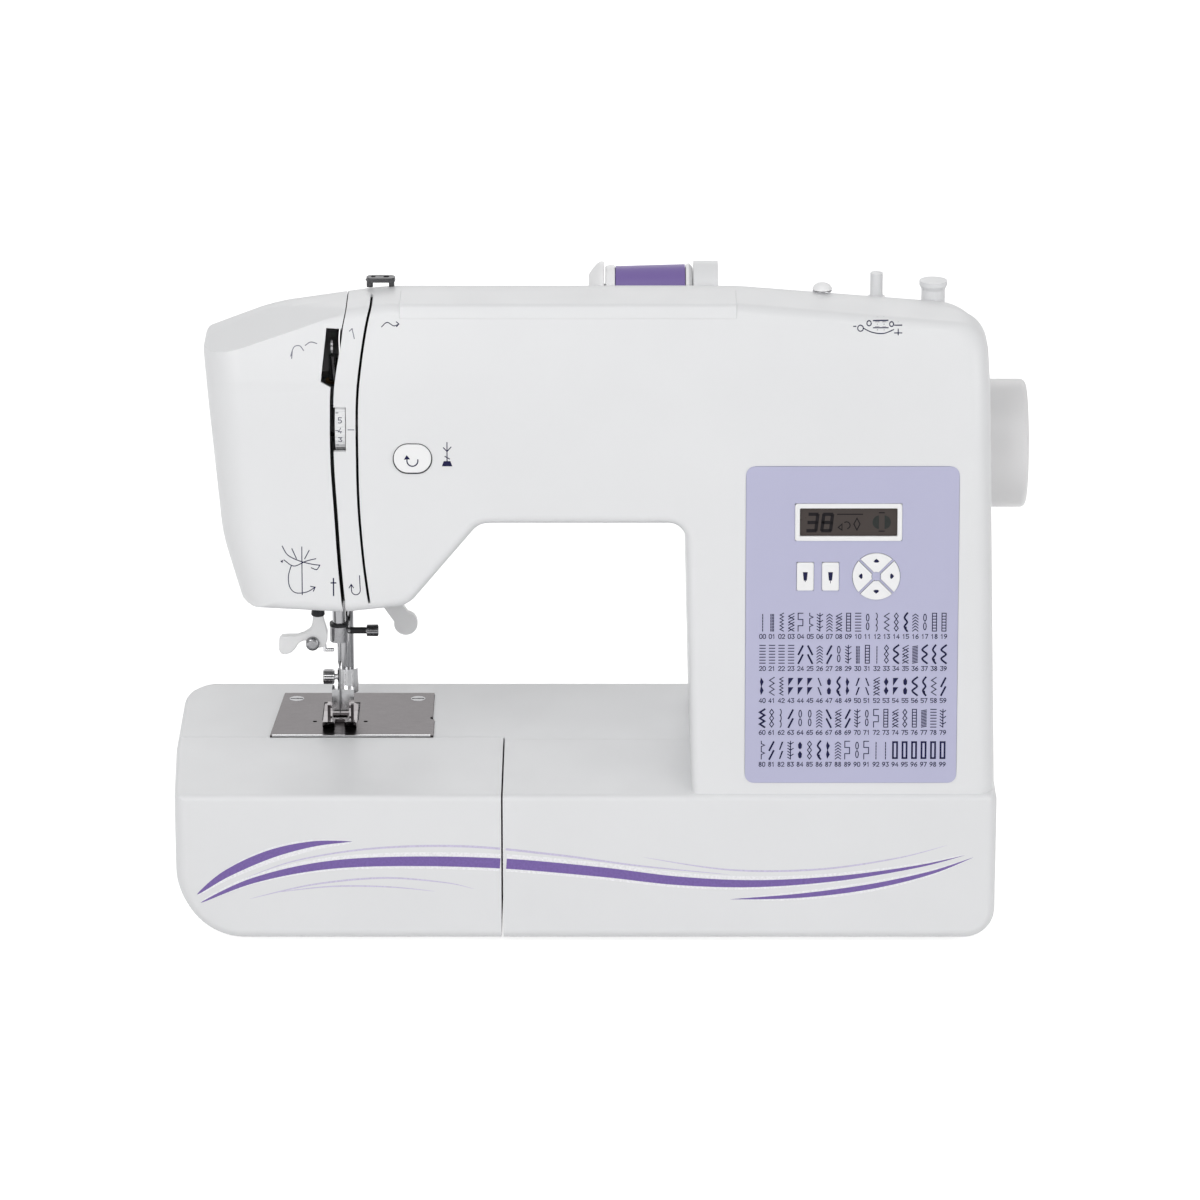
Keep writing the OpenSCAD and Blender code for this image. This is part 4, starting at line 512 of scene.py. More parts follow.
def tint(tree, source, rgb, low, high):
    """The colour, darker and lighter by the two factors."""
    return ramp(tree, source, *(tuple(max(0, min(1, c * k)) for c in rgb) for k in (low, high)))


def plastic(name, rgb, rough, grain):
    """Moulded plastic: spark-eroded grain, faint flow variation, softer and glossier patches."""
    mat, tree, shader = new_material(name, rgb, rough)
    feed(tree, shader, {
        "Base Color": tint(tree, noise(tree, 14, 2), rgb, 0.985, 1.01),
        "Roughness": ramp(tree, noise(tree, 60, 4), (rough - 0.035,) * 3, (rough + 0.045,) * 3),
        "Normal": bump(tree, noise(tree, 2600, 3), grain, 0.00006),
        "Specular IOR Level": 0.45 if sum(rgb) > 0.5 else 0.2,
    })
    return mat


def metal(name, rgb, rough, wear, stretch=(60, 60, 60)):
    """Ground or plated metal with fine lines along one direction."""
    mat, tree, shader = new_material(name, rgb, rough, 1)
    lines = noise(tree, 6, 4, stretch)
    feed(tree, shader, {
        "Base Color": tint(tree, noise(tree, 45, 4), rgb, 0.94, 1.03),
        "Roughness": ramp(tree, lines, (max(0.05, rough - 0.06),) * 3, (rough + wear,) * 3),
        "Normal": bump(tree, lines, 0.12, 0.00004),
    })
    return mat


def ink(name, rgb, rough=0.5):
    """Pad-printed ink, a little uneven."""
    mat, tree, shader = new_material(name, rgb, rough)
    speckled = tint(tree, noise(tree, 900, 3), rgb, 0.9, 1.1)
    feed(tree, shader, {"Base Color": speckled, "Specular IOR Level": 0.15})
    return mat


M = {row[0]: plastic(*row) for row in (
    # Name, colour, roughness, grain
    ("shell_white", (0.775, 0.78, 0.79), 0.36, 0.22),
    ("underside_grey", (0.5, 0.5, 0.52), 0.5, 0.4),
    ("wheel_grey", (0.8, 0.795, 0.8), 0.33, 0.3),
    ("key_white", (0.87, 0.87, 0.875), 0.3, 0.1),
    ("lavender_film", (0.485, 0.485, 0.655), 0.42, 0.35),
    ("display", (0.062, 0.05, 0.046), 0.3, 0.03),
    ("board", (0.04, 0.2, 0.09), 0.4, 0.4),
    ("rubber", (0.03, 0.03, 0.032), 0.75, 0.6),
    ("black_plastic", (0.025, 0.025, 0.028), 0.4, 0.4),
    ("bobbin_clear", (0.75, 0.77, 0.8), 0.1, 0.03),
    ("lamp", (0.85, 0.85, 0.8), 0.2, 0.1),
    ("thread", (0.19, 0.13, 0.37), 0.42, 0.5),
)}
M |= {row[0]: metal(*row) for row in (
    # Name, colour, roughness, wear, and how the lines are stretched
    ("polished_steel", (0.34, 0.34, 0.35), 0.14, 0.05, (40, 40, 500)),
    ("plate_steel", (0.11, 0.1, 0.103), 0.3, 0.1, (20, 900, 20)),
    ("clamp_steel", (0.3, 0.3, 0.31), 0.22, 0.1),
    ("bright_steel", (0.8, 0.8, 0.81), 0.2, 0.06),
    ("foot_steel", (0.22, 0.205, 0.21), 0.12, 0.06),
    ("ground_steel", (0.72, 0.72, 0.735), 0.26, 0.1, (700, 25, 25)),
    ("dark_steel", (0.12, 0.12, 0.125), 0.36, 0.12),
    ("cast_metal", (0.5, 0.5, 0.5), 0.5, 0.15, (90, 90, 90)),
    ("bronze", (0.55, 0.38, 0.2), 0.4, 0.1, (80, 80, 80)),
)}
M["bobbin_clear"].node_tree.nodes["Principled BSDF"].inputs["Transmission Weight"].default_value = 0.6
INK = ink("print_indigo", (0.012, 0.012, 0.055))
INK_SOFT = ink("print_grey", (0.2, 0.2, 0.25))
STRIPE = ink("stripe_purple", (0.2, 0.135, 0.385), 0.42)
STRIPE_PALE = ink("stripe_pale", (0.62, 0.58, 0.74), 0.42)
STRIPE_WHITE = ink("stripe_white", (0.86, 0.86, 0.88), 0.42)


def piece(obj, name, material="shell_white", body="chassis", node=None):
    """Names, finishes and mounts a piece, which may stand for a CAD node."""
    obj.name = name
    obj.data.materials.clear()
    obj.data.materials.append(M[material])
    if node:
        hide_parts(node)
    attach(obj, body)
    return obj


# ---- Housings


def passage():
    """Way from the base into the free arm."""
    return box_cut((BASE_X - 5, BASE_X + 5), (ARM_FRONT + 6, Y1 - 4), (ARM_LOW + WALL, BED - WALL - 2))


def common_cuts():
    """Openings that the front and the rear housing share."""
    under = box_cut((BASE_X + WALL + 1, X1 - 15), (Y0 + 7, Y1 - 9), (0, FOOT_H + 2 * WALL))
    shaft = cylinder("x", X1 - 15, NY, SHAFT_Z, 6.8, 20)
    return [under, passage(), head_mouth(), shaft, left_of_slot(1)]


rear = combine(arm_solid("arm"), [base_form("base")], "UNION")
combine(rear, [arm_solid("arm_in", WALL), base_form("base_in", WALL)])
front = new_object("front_shell", rear.data.copy())
combine(front, common_cuts() + [
    box_cut((X0 - 30, X1 + 30), (PART_Y - 0.1, Y1 + 30), (-10, TOP + 30)),
    prism(widened(slot_line(RIGHT_SLOT), 0.6), "y", Y0 - 20, NY - 40),
    push(stadium(-48.65, 48.65, -74.15, 74.15, 5.1), -0.9, 4, PANEL),
    *[push(stadium(-3.95, 3.95, -6.65, 6.65, 0.9, 6), -6, 6, on_panel(x, KEY_Z)) for x in KEY_XS],
    push(round_points(0, 0, PAD_R + 0.3), -6, 6, on_panel(PAD_X, KEY_Z)),
    push(stadium(-24.45, 24.45, -8.7, 8.7, 1.2, 6), -6, 6, on_panel(*LCD)),
    push(oval_points(8.8, 6.7), -4, 12, at_front(*BUTTON, 4)),
    box_cut((DIAL_X - 4.3, DIAL_X + 2.6), (Y0, front_at(DIAL_Z) + 11.6), (DIAL_Z - 10.1, DIAL_Z + 10.1)),
])
piece(smooth(front), "front_shell", node="front_housing")

# The rear housing carries the walls of the trough and the well, and the handle's bosses
trough_wall = cylinder("x", TROUGH_X - WALL, SPOOL_Y, SPOOL_Z, TROUGH_R + WALL, TROUGH_L + 2 * WALL, 72)
combine(trough_wall, [arm_form("trim")], "INTERSECT")
well_wall = box_cut((X1 - WELL_DEPTH - WALL, X1 + 5), (WELL_Y[0] - WALL, WELL_Y[1] + WALL),
                    (WELL_Z[0] - WALL, WELL_Z[1] + WALL))
combine(well_wall, [base_form("trim")], "INTERSECT")
boss = [p for p in round_points(HANDLE_Y, HANDLE_Z, 6.5) if p[0] > HANDLE_Y - 1]
boss.sort(key=lambda p: math.atan2(p[1] - HANDLE_Z, p[0] - HANDLE_Y))
boss += [(HANDLE_Y - 13, HANDLE_Z + 9), (HANDLE_Y - 13, HANDLE_Z - 9)]
combine(rear, [trough_wall, well_wall] + [prism(boss, "x", x - 9, x - 3) for x in HANDLE_XS], "UNION")
winder_slot = arc_line(WINDER_X, WINDER_Y, 4.5, 90, 270, 24)
winder_slot += arc_line(WINDER_X + 12, WINDER_Y, 4.5, -90, 90, 24)
combine(rear, common_cuts() + [
    box_cut((X0 - 30, X1 + 30), (Y0 - 30, PART_Y + 0.1), (-10, TOP + 30)),
    cylinder("x", TROUGH_X, SPOOL_Y, SPOOL_Z, TROUGH_R, TROUGH_L, 72),
    box_cut((X1 - WELL_DEPTH, X1 + 5), WELL_Y, WELL_Z),
    prism(winder_slot, "z", TOP - 22, TOP + 8),
    cylinder("z", X1 - 29, WINDER_Y - 4, TOP - 22, 5.8, 30, 32),
    *[cylinder("x", x - 12, HANDLE_Y, HANDLE_Z, 3.1, 12) for x in HANDLE_XS],
    *[cylinder("y", x, 8, z, 3.8, Y1, 32) for x, z in REAR_SCREWS],
    *[prism(stadium(X1 - 97.3, X1 - 50.7, z - 1.3, z + 1.3, 1.29, 5), "y", BACK_Y - 10, BACK_Y + 10)
      for z in (BED + 36 + 7 * i for i in range(9))],
])
piece(smooth(rear), "rear_shell", node="rear_housing")

cover = combine(arm_solid("cover"), [arm_solid("cover_in", WALL)])
combine(cover, [left_of_slot(-1)], "INTERSECT")
take_up_window = [(NX - 1.2, TOP - 9.6), (NX + 5.5, TOP - 10), (NX + 1.5, TOP - 36), (NX - 3.8, TOP - 33)]
combine(cover, [head_mouth(), prism(take_up_window, "y", Y0 - 5, Y0 + 55)])
piece(smooth(cover), "face_cover_shell", node="face_cover")


def slot_shade(name, points, half, low, high, back_y):
    """Dark walls behind a slot, cut to the inside of the moulding: painted shade in the slot's depth."""
    line = slot_line(points, low, high)
    longer = [(line[0][0], low - 5)] + line + [(line[-1][0], high + 5)]
    obj = prism(widened(line, half + 0.4), "y", Y0 - 20, back_y)
    combine(obj, [arm_solid("trim", 1.2)], "INTERSECT")
    combine(obj, [prism(widened(longer, half), "y", Y0 - 25, back_y - 1.2)])
    piece(smooth(obj), name, "black_plastic")


# Black sheets behind the slots paint the shade inside them
slot_shade("slot_shade_left", LEFT_SLOT, 0.85, 158, 229, -50)
slot_shade("slot_shade_right", RIGHT_SLOT, 0.6, 163, 299, -21.5)
# A black strip in the parting gap across the top paints the shade in the gap
top_gap_shade = prism(widened(slot_line(LEFT_SLOT, 287), 1.6), "y", -46, BACK_Y - 3)
combine(top_gap_shade, [arm_solid("trim", 1.4)], "INTERSECT")
piece(smooth(top_gap_shade), "slot_shade_top", "black_plastic")

# Lid over the front of the top, a little proud of the housing
section = [(front_at(z) - 0.42, z) for z in (291.8, 294.5)]
section += [(-42, 296.9), (-40.6, 297.75), (-38, 297.95), (-18, 297.95), (-18, 296.5), (-38, 296.5)]
lid = prism(section + [(front_at(291.8) + 1.5, 291.8)], "x", -91, 62)
piece(smooth(bake(soften(lid, 0.35, 25)), 40), "top_lid")


# ---- Free arm, table and door


def plate_outline(grow):
    """Needle plate from above, wider or narrower; its recess opens to the front of the arm."""
    left, front_y = (0.37, ARM_FRONT - 5) if grow > 0 else (0, ARM_FRONT - grow)
    right, back = NX + 43.6 + grow, ARM_FRONT + 59 + grow
    return [(NX - 32.4 - grow - left, front_y), (right + 0.8, front_y), (right + 0.8, ARM_FRONT + 22),
            (right, ARM_FRONT + 26), (right, back), (NX - 28 - grow, back)]


arm = combine(free_arm_form("free_arm"), [free_arm_form("free_arm_in", WALL)])
combine(arm, [
    prism(plate_outline(0.15), "z", PLATE_TOP - 1.6, PLATE_TOP + 4),
    prism(plate_outline(-7), "z", BED - 8, BED + 12),
    box_cut((NX - 30.3, NX + 26.3), (ARM_FRONT - 2, ARM_FRONT + WALL + 1), (ARM_LOW + 1.7, BED - 3.2)),
    passage(),
    prism(stadium(NX + 31, NX + 45, BED - 47, BED - 41, 2.99, 12), "y", Y1 - 8, Y1 + 12),
    *[prism(stadium(x - 1.2, x + 1.2, NY + 10.8, NY + 37.2, 1.19, 5), "z", ARM_LOW - 5, ARM_LOW + 5)
      for x in (NX - 40 + 9 * i for i in range(8))],
])
piece(smooth(arm), "free_arm", node="free_arm_shell")

table = bed_form("table", (X0, TABLE_X1), (Y0 + 0.05, TABLE_BACK), (FOOT_H, BED), [0, 0, 2, 34], [0, 3, 5, 5],
                 [0.01] * 4)
ROOM_X, ROOM_Z, BAY = (X0 + 24, TABLE_X1 - WALL), (FOOT_H + WALL, BED - WALL), 30.125
combine(table, [
    prism(stadium(*ROOM_X, *ROOM_Z, 4), "y", Y0 + 30, Y0 + 108.2),
    *[prism(stadium(x, x + BAY, *ROOM_Z, 4), "y", Y0 + WALL + 1, Y0 + 33)
      for x in (ROOM_X[0] + i * (BAY + 2) for i in range(4))],
])
# The table's end draws in a little towards the front
for v in table.data.vertices:
    across = max(0, min(1, (-168 - v.co.x / MM) / 26))
    forward = max(0, min(1, (-22 - v.co.y / MM) / 58))
    v.co.x += 3.2 * across * forward ** 1.5 * MM
piece(smooth(table), "table_shell", body="table", node="extension_table")


# ---- The rest of the CAD nodes keep their shape and get their materials

DRESS = {
    "shell_white": "bobbin_door winder_stopper spool_holder tension_dial winder_spindle carrying_handle",
    "key_white": "lcd_bezel presser_lever reverse_button left_button right_button arrow_up arrow_down"
                 " arrow_left arrow_right",
    "black_plastic": "power_socket bobbin_case shaft_pulleys motor_pulley winder_carriage feed_drop_lever"
                     " power_switch",
    "polished_steel": "shuttle_hook needle_bar needle take_up_lever presser_bar",
    "dark_steel": "drive_motor stepper_motors hook_race tension_discs",
    "ground_steel": "main_shaft lower_shaft feed_dog", "rubber": "rubber_feet motor_belt timing_belt",
    "clamp_steel": "screws needle_clamp", "plate_steel": "needle_plate", "bright_steel": "foot_holder",
    "foot_steel": "presser_foot", "lavender_film": "control_panel", "display": "lcd_screen",
    "board": "control_board", "underside_grey": "base_plate", "cast_metal": "machine_frame",
    "bronze": "bushes", "lamp": "led_lamp", "wheel_grey": "handwheel", "bobbin_clear": "bobbin",
}
for material, names in DRESS.items():
    for obj in (NODES[n] for n in names.split()):
        if not obj.material_slots:
            obj.data.materials.append(None)
        for s in obj.material_slots:
            s.link = "OBJECT"
            s.material = M[material]

BEVELS = {
    0.6: "carrying_handle", 0.5: "handwheel", 0.4: "spool_holder needle_plate presser_lever",
    0.35: "reverse_button", 0.25: "lcd_bezel bobbin_door", 0.15: "control_panel",
    0.3: "winder_stopper left_button right_button arrow_up arrow_down arrow_left arrow_right power_socket",
    0.2: "presser_foot foot_holder needle_clamp power_switch", 0.12: "winder_spindle",
}
for width, names in BEVELS.items():
    for n in names.split():
        soften(NODES[n], width)


# ---- Needle threader, screws, spool, winder and other small parts


def turned(profile, at, axis, n=40, flutes=0, depth=0):
    """Turned part from (along, radius) points; flutes cut grips into its widest part."""
    grip = 0.9 * max(r for _, r in profile)
    verts = []
    for a, r in profile:
        for i in range(n):
            t = 2 * math.pi * i / n
            rr = r - (depth if flutes and r > grip and (i * flutes // n) % 2 else 0)
            u, v = rr * math.cos(t), rr * math.sin(t)
            verts.append(tuple(p + q for p, q in zip(along(axis, a, u, v), at)))
    last = (len(profile) - 1) * n
    faces = bands(len(profile), n) + [tuple(range(n - 1, -1, -1)), tuple(range(last, last + n))]
    return smooth(closed("turned", verts, faces), 38)


threader = prism([
    (-134.9, 129.4), (-135.2, 126), (-136, 122.8), (-138.8, 120.7), (-142.2, 119.4), (-146, 119.4),
    (-149.6, 119.2), (-151.1, 117.6), (-151.3, 112.4), (-150.3, 110.3), (-147.8, 109.8), (-145.2, 110.9),
    (-143.4, 112.8), (-141.7, 115.6), (-139.2, 117), (-136.8, 116.4), (-135.4, 113.8), (-132.2, 113.2),
    (-129.4, 113.8), (-128.3, 117), (-128.1, 121), (-129.2, 125), (-130.2, 129.4),
], "y", THREAD_Y - 3.9, THREAD_Y + 0.6)
threader = smooth(bake(soften(threader, 0.8, 40)), 40)
piece(threader, "threader_handle", "key_white", "threader", "needle_threader")
for name, material, body, at, axis, profile, *sides in (
    # Name, material, body, place, axis, (along, radius) points, then sides, flutes and their depth
    ("threader_collar", "black_plastic", "threader", (THREAD_X, THREAD_Y - 1.4, 0), "z",
     [(128.9, 2.9), (129.4, 3.25), (131, 3.1), (135.4, 2.1), (135.8, 1.5)]),
    ("threader_rod", "polished_steel", "threader", (THREAD_X, THREAD_Y, 0), "z",
     [(129, 1.45), (191.5, 1.45), (192, 1.1)]),
    ("threader_knob", "clamp_steel", "threader", (THREAD_X - 2.6, THREAD_Y - 3.9, 115.8), "y",
     [(-2.6, 1.6), (-2.4, 2.6), (-1.8, 3.15), (0.4, 3.3), (0.6, 2.9)]),
    ("threader_hook", "ground_steel", "threader", (THREAD_X + 2.4, THREAD_Y - 0.6, 111.4), "x",
     [(0, 0.7), (0.3, 0.9), (4.6, 0.9), (5, 0.5)], 24),
    ("threader_stem", "ground_steel", "threader", (THREAD_X + 2.8, THREAD_Y - 0.6, 0), "z",
     [(110.6, 0.6), (110.9, 1), (114.2, 1)], 24),
    ("foot_screw", "black_plastic", "presser", (PRESSER_X - 11.7, PRESSER_Y, PLATE_TOP + 18), "x",
     [(0, 2.9), (0.3, 3.55), (1.1, 3.62), (4.2, 3.62), (5, 3.55), (5.3, 2.9)], 72, 36, 0.25),
    ("clamp_screw", "black_plastic", "needle_group", (NX + 12.9, NY, CLAMP_Z + 5), "x",
     [(0, 2.2), (0.3, 2.75), (5.2, 2.8), (5.6, 2.2)], 72, 30, 0.22),
    ("clamp_screw_rod", "black_plastic", "needle_group", (NX + 5.2, NY, CLAMP_Z + 5), "x",
     [(0, 1.55), (7.4, 1.55)], 48),
    ("clamp_ring", "black_plastic", "needle_group", (NX, NY, CLAMP_Z + 7.4), "z",
     [(0, 3.6), (0.2, 4.56), (1.6, 4.56), (1.8, 3.8)], 48),
):
    piece(turned(profile, at, axis, *sides), name, material, body)


def bored(profile, x, r, angle, n=72, sides=48):
    """Turned part on the spool's axis with a hole of radius r through it."""
    hole = cylinder("x", SPOOL_X - 14, SPOOL_Y, SPOOL_Z, r, 60, sides)
    return smooth(combine(turned(profile, (x, SPOOL_Y, SPOOL_Z), "x", n), [hole]), angle)


core = [(-2, 10.6), (-1.8, 11), (0, 11.6), (2.3, 11.5), (2.7, 9.6), (34.9, 9.6), (35.3, 11.9),
        (36.6, 12.45), (38, 11), (38.4, 10)]
piece(bored(core, SPOOL_X, 3.1, 38), "spool_core", "key_white", "spool", "thread_spool")
HALF_TURNS = 124
wound = [(2.75 + 32.1 * k / HALF_TURNS, k % 2) for k in range(HALF_TURNS + 1)]
wound = [(along, 10.95 + 0.9 * (along - 2.7) / 32 + 0.07 * crest) for along, crest in wound]
wound = [(2.6, 9.65)] + wound + [(34.95, 9.65)]
piece(bored(wound, SPOOL_X, 9.55, 60, 64, 64), "spool_thread", "thread", "spool")
cap = [(-7.3, 6.6), (-7.1, 7.5), (-5.4, 10), (-3.4, 12.2), (-2, 13.1), (-1, 13.3), (-0.3, 13.1), (0, 12.5)]
piece(bored(cap, SPOOL_X - 2.5, 2.75, 38), "spool_cap_shell", "key_white", "cap", "spool_cap")

# Ground bevel along the front of the needle plate, in steel far brighter than the plate: partly a real bevel,
# partly a painted highlight line
y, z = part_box("needle_plate")[0][1] / MM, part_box("needle_plate")[1][2] / MM
lip = [(y - 0.06, z - 0.7), (y - 0.06, z), (y + 0.05, z + 0.06), (y + 0.9, z + 0.06), (y + 0.95, z - 0.3)]
piece(prism(lip, "x", NX - 31.4, NX + 43), "plate_edge_highlight", "bright_steel")

# Dark ring in the gap round the reverse key, painted shade of the gap, and the thread guide on top
ring_at = at_front(*BUTTON)
gap_shade_ring = push(oval_points(9, 6.9), -1.5, 0.12, ring_at)
combine(gap_shade_ring, [push(oval_points(8.5, 6.4), -5, 5, ring_at)])
piece(smooth(gap_shade_ring, 38), "reverse_gap_shade", "black_plastic")
GUIDE_X, GUIDE_Y = NX + 19, PART_Y - 4
guide = stadium(GUIDE_X - 3.1, GUIDE_X + 10.1, GUIDE_Y - 3.1, GUIDE_Y + 3.1, 3.09)
holes = [cylinder("z", GUIDE_X + x, GUIDE_Y, TOP + 1, r, 5, 24) for x, r in ((0, 1.1), (6, 1.4))]
guide = bake(soften(combine(prism(guide, "z", TOP + 1.7, TOP + 3.8), holes), 0.35, 30))
piece(smooth(guide, 35), "wire_guide", "dark_steel", node="thread_guides")
DOME = (WINDER_X - 25.6, GUIDE_Y, TOP - 3.5)
for name, material, at, profile, n in (
    ("guide_post_0", "dark_steel", (GUIDE_X - 1.6, GUIDE_Y, TOP),
     [(-1, 1.5), (1.8, 1.5), (2.4, 2), (2.6, 2)], 24),
    ("guide_post_1", "dark_steel", (GUIDE_X + 8.4, GUIDE_Y, TOP),
     [(-1, 1.3), (1.8, 1.3), (2.4, 1.8), (2.6, 1.8)], 24),
    ("winder_disc_low", "ground_steel", DOME,
     [(-0.6, 1.9), (0, 2.2), (0.35, 4.3), (0.7, 4.55), (1, 4.5)], 48),
    ("winder_disc_top", "key_white", DOME,
     [(1.3, 4.4), (1.5, 4.58), (2.3, 4.35), (3.2, 3.7), (4, 2.6), (4.5, 1.2), (4.6, 0.3)], 48),
    ("winder_disc_neck", "dark_steel", DOME, [(0.9, 1.6), (1.4, 1.6)], 24),
):
    piece(turned(profile, at, "z", n), name, material)


# ---- Printed marks: thin ribbons on the surfaces that carry them

# Plain figures, 20 high
DIGITS = [
    [(3, 0), (9, 0), (12, 4), (12, 16), (9, 20), (3, 20), (0, 16), (0, 4), (3, 0)],
    [(2, 16), (6, 20), (6, 0)],
    [(0, 16), (3, 20), (9, 20), (12, 16), (12, 12), (0, 0), (12, 0)],
    [(0, 20), (12, 20), (6, 12), (12, 7), (12, 4), (9, 0), (3, 0), (0, 3)],
    [(9, 0), (9, 20), (0, 6), (12, 6)],
    [(12, 20), (0, 20), (0, 11), (8, 12), (12, 8), (12, 4), (8, 0), (0, 1)],
    [(10, 20), (3, 14), (0, 7), (3, 0), (9, 0), (12, 4), (12, 8), (9, 11), (1, 9)],
    [(0, 20), (12, 20), (4, 0)],
    [(6, 11), (1, 15), (3, 20), (9, 20), (11, 15), (6, 11), (12, 6), (9, 0), (3, 0), (0, 6), (6, 11)],
    [(2, 0), (9, 6), (12, 13), (9, 20), (3, 20), (0, 16), (0, 12), (3, 9), (11, 11)],
]


def number(text, x, z, height):
    """Lines of plain figures, centred."""
    step = 0.85 * height
    left = x - (len(text) * step - 0.25 * height) / 2
    return [[(left + i * step + px / 20 * height, z + (pz / 20 - 0.5) * height) for px, pz in DIGITS[int(c)]]
            for i, c in enumerate(text)]


def strip_faces(line, width, verts, faces, reach=2):
    """Ribbon along a line; width is a number or a function of the share of the length."""
    pts = [Vector(line[0])]
    for p in map(Vector, line[1:]):
        start = pts[-1]
        n = max(1, int((p - start).length / reach))
        pts += [start.lerp(p, k / n) for k in range(1, n + 1)]
    steps = [(b - a).length for a, b in zip(pts, pts[1:])]
    base, last, tapers = len(verts), len(pts) - 1, callable(width)
    for i, p in enumerate(pts):
        before = (p - pts[i - 1] if i else pts[1] - p).normalized()
        after = (pts[i + 1] - p).normalized() if i < last else before
        along = before + after
        along = along.normalized() if along.length > 0.2 else before
        w = width(sum(steps[:i]) / sum(steps)) if tapers else width
        side = Vector((-along.y, along.x)) / max(0.5, abs(along.dot(before))) * w / 2
        end = along * (0 if tapers or 0 < i < last else w / 2 if i else -w / 2)
        verts += [p + end + side, p + end - side]
    faces += [(a, a + 1, a + 3, a + 2) for a in range(base, base + 2 * last, 2)]


def ribbons(name, lines, width, place, material, fills=(), at=(0, 0), body="chassis"):
    """Lines and filled outlines, moved by at and laid on a surface by place(x, z)."""
    verts, faces = [], []
    for line in lines:
        strip_faces(line, width, verts, faces)
    for outline in fills:
        faces.append(tuple(range(len(verts), len(verts) + len(outline))))
        verts += [Vector(p) for p in outline]
    obj = from_lists(name, [tuple(place(v.x + at[0], v.y + at[1])) for v in verts], faces)
    obj.data.materials.append(material)
    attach(obj, body)


def flat_panel(lift):
    return lambda x, z: PANEL @ (Vector((x - PANEL_X, (z - PANEL_Z) / math.cos(LEAN), lift)) * MM) / MM


def onto(obj, lift=0.03):
    """Finds the surface of a shell as seen from the front."""
    tree = BVHTree.FromObject(obj, bpy.context.evaluated_depsgraph_get())

    def place(x, z):
        hit, normal, _, _ = tree.ray_cast(Vector((x, -150, z)) * MM, Vector((0, 1, 0)))
        if hit is None:
            return Vector((x, front_at(z), z))
        return hit / MM + (-normal if normal.y > 0 else normal) * lift
    return place


def repeated(shape, heights):
    return [[(u, z + v) for u, v in shape] for z in heights]


def zigzag(n, left, right):
    return [((left if i % 2 else right), 100 * i / n) for i in range(n + 1)]


# Generic stitches, in a box 100 wide and high: lines, then filled outlines from FIRST_FILLED on
SIXTHS = [100 * i / 6 for i in range(7)]
SIX = SIXTHS[:6]
THIRDS, HALVES = (0, 34, 68), (0, 52)
FIRST_FILLED = 20
STITCHES = [
    repeated([(50, 0), (50, 10)], SIX),
    [line for x in (30, 50, 70) for line in repeated([(x, 0), (x, 10)], SIX)],
    [zigzag(6, 15, 85)],
    [zigzag(10, 25, 75)],
    [[(40, 0), (40, 25), (90, 33), (40, 41), (40, 70), (90, 78), (40, 86), (40, 100)]],
    repeated(arc_line(35, 16, 16, -90, 90, 6), THIRDS),
    repeated([(10, 0), (90, 16)], SIX) + repeated([(90, 0), (10, 16)], SIX[::2]),
    repeated([(10, 0), (50, 12), (90, 0)], SIX),
    repeated([(20, 0), (80, 0)], SIXTHS) + [[(20, 0), (20, 100)], [(80, 0), (80, 100)]],
    [[(10, 0), (10, 30), (80, 30), (80, 65), (10, 65), (10, 100), (80, 100)]],
    [curve(zigzag(4, 15, 85), 5)],
    repeated([(50, 0), (80, 16), (50, 32), (20, 16), (50, 0)], THIRDS),
    [[(50, 0), (50, 100)]] + repeated([(10, 10), (50, 0)], SIX) + repeated([(90, 10), (50, 0)], SIX[1::2]),
    repeated([(15, 0), (85, 5)], [100 * i / 12 for i in range(12)]),
    repeated([(20, 0), (80, 45)], (0, 50)),
    repeated([(80, 0), (20, 45)], (0, 50)),
    repeated(arc_line(50, 27, 20, 0, 360, 10), (0, 48)),
    [curve([(70, 0), (30, 25), (70, 50), (30, 75), (70, 100)], 5), [(50, 10), (50, 20)]],
    repeated([(10, 0), (90, 0)], SIXTHS),
    [[(20, 5), (80, 5), (80, 95), (20, 95), (20, 5)]],
    [[(30, 0), (70, 25), (40, 50), (70, 75), (30, 100), (15, 75), (30, 50), (15, 25)]],
    repeated([(50, 0), (85, 25), (50, 50), (15, 25)], (0, 50)),
    repeated([(10, 0), (90, 45), (10, 45)], HALVES),
    repeated([(50, 2), (75, 10), (80, 30), (50, 46), (20, 30), (25, 10)], HALVES),
    repeated([(20, 0), (40, 0), (85, 45), (60, 45)], HALVES),
    repeated([(85, 0), (65, 0), (20, 45), (40, 45)], HALVES),
]
KINDS = [
    [0, 1, 3, 6, 9, 4, 12, 7, 6, 8, 18, 16, 5, 2, 11, 17, 7, 16, 8, 8],
    [18, 18, 18, 18, 14, 15, 7, 14, 16, 12, 1, 8, 0, 11, 10, 6, 13, 10, 17, 10],
    [20, 2, 3, 22, 22, 22, 25, 23, 17, 20, 24, 25, 6, 21, 22, 23, 10, 17, 2, 14],
    [2, 11, 5, 14, 16, 16, 7, 15, 6, 14, 12, 16, 9, 8, 6, 11, 8, 13, 18, 12],
    [4, 14, 24, 12, 23, 11, 17, 20, 7, 9, 16, 9, 0, 0, 19, 19, 19, 19, 19, 19],
]
BOLD = (10, 14, 15, 17, 19)
FIRST_X, PITCH_X, FIRST_Z, PITCH_Z, GLYPH_H, GLYPH_W = 74.3, 4.36, 150.3, 14.93, 0.083, 0.031
thin, bold, fills, figures = [], [], [], []
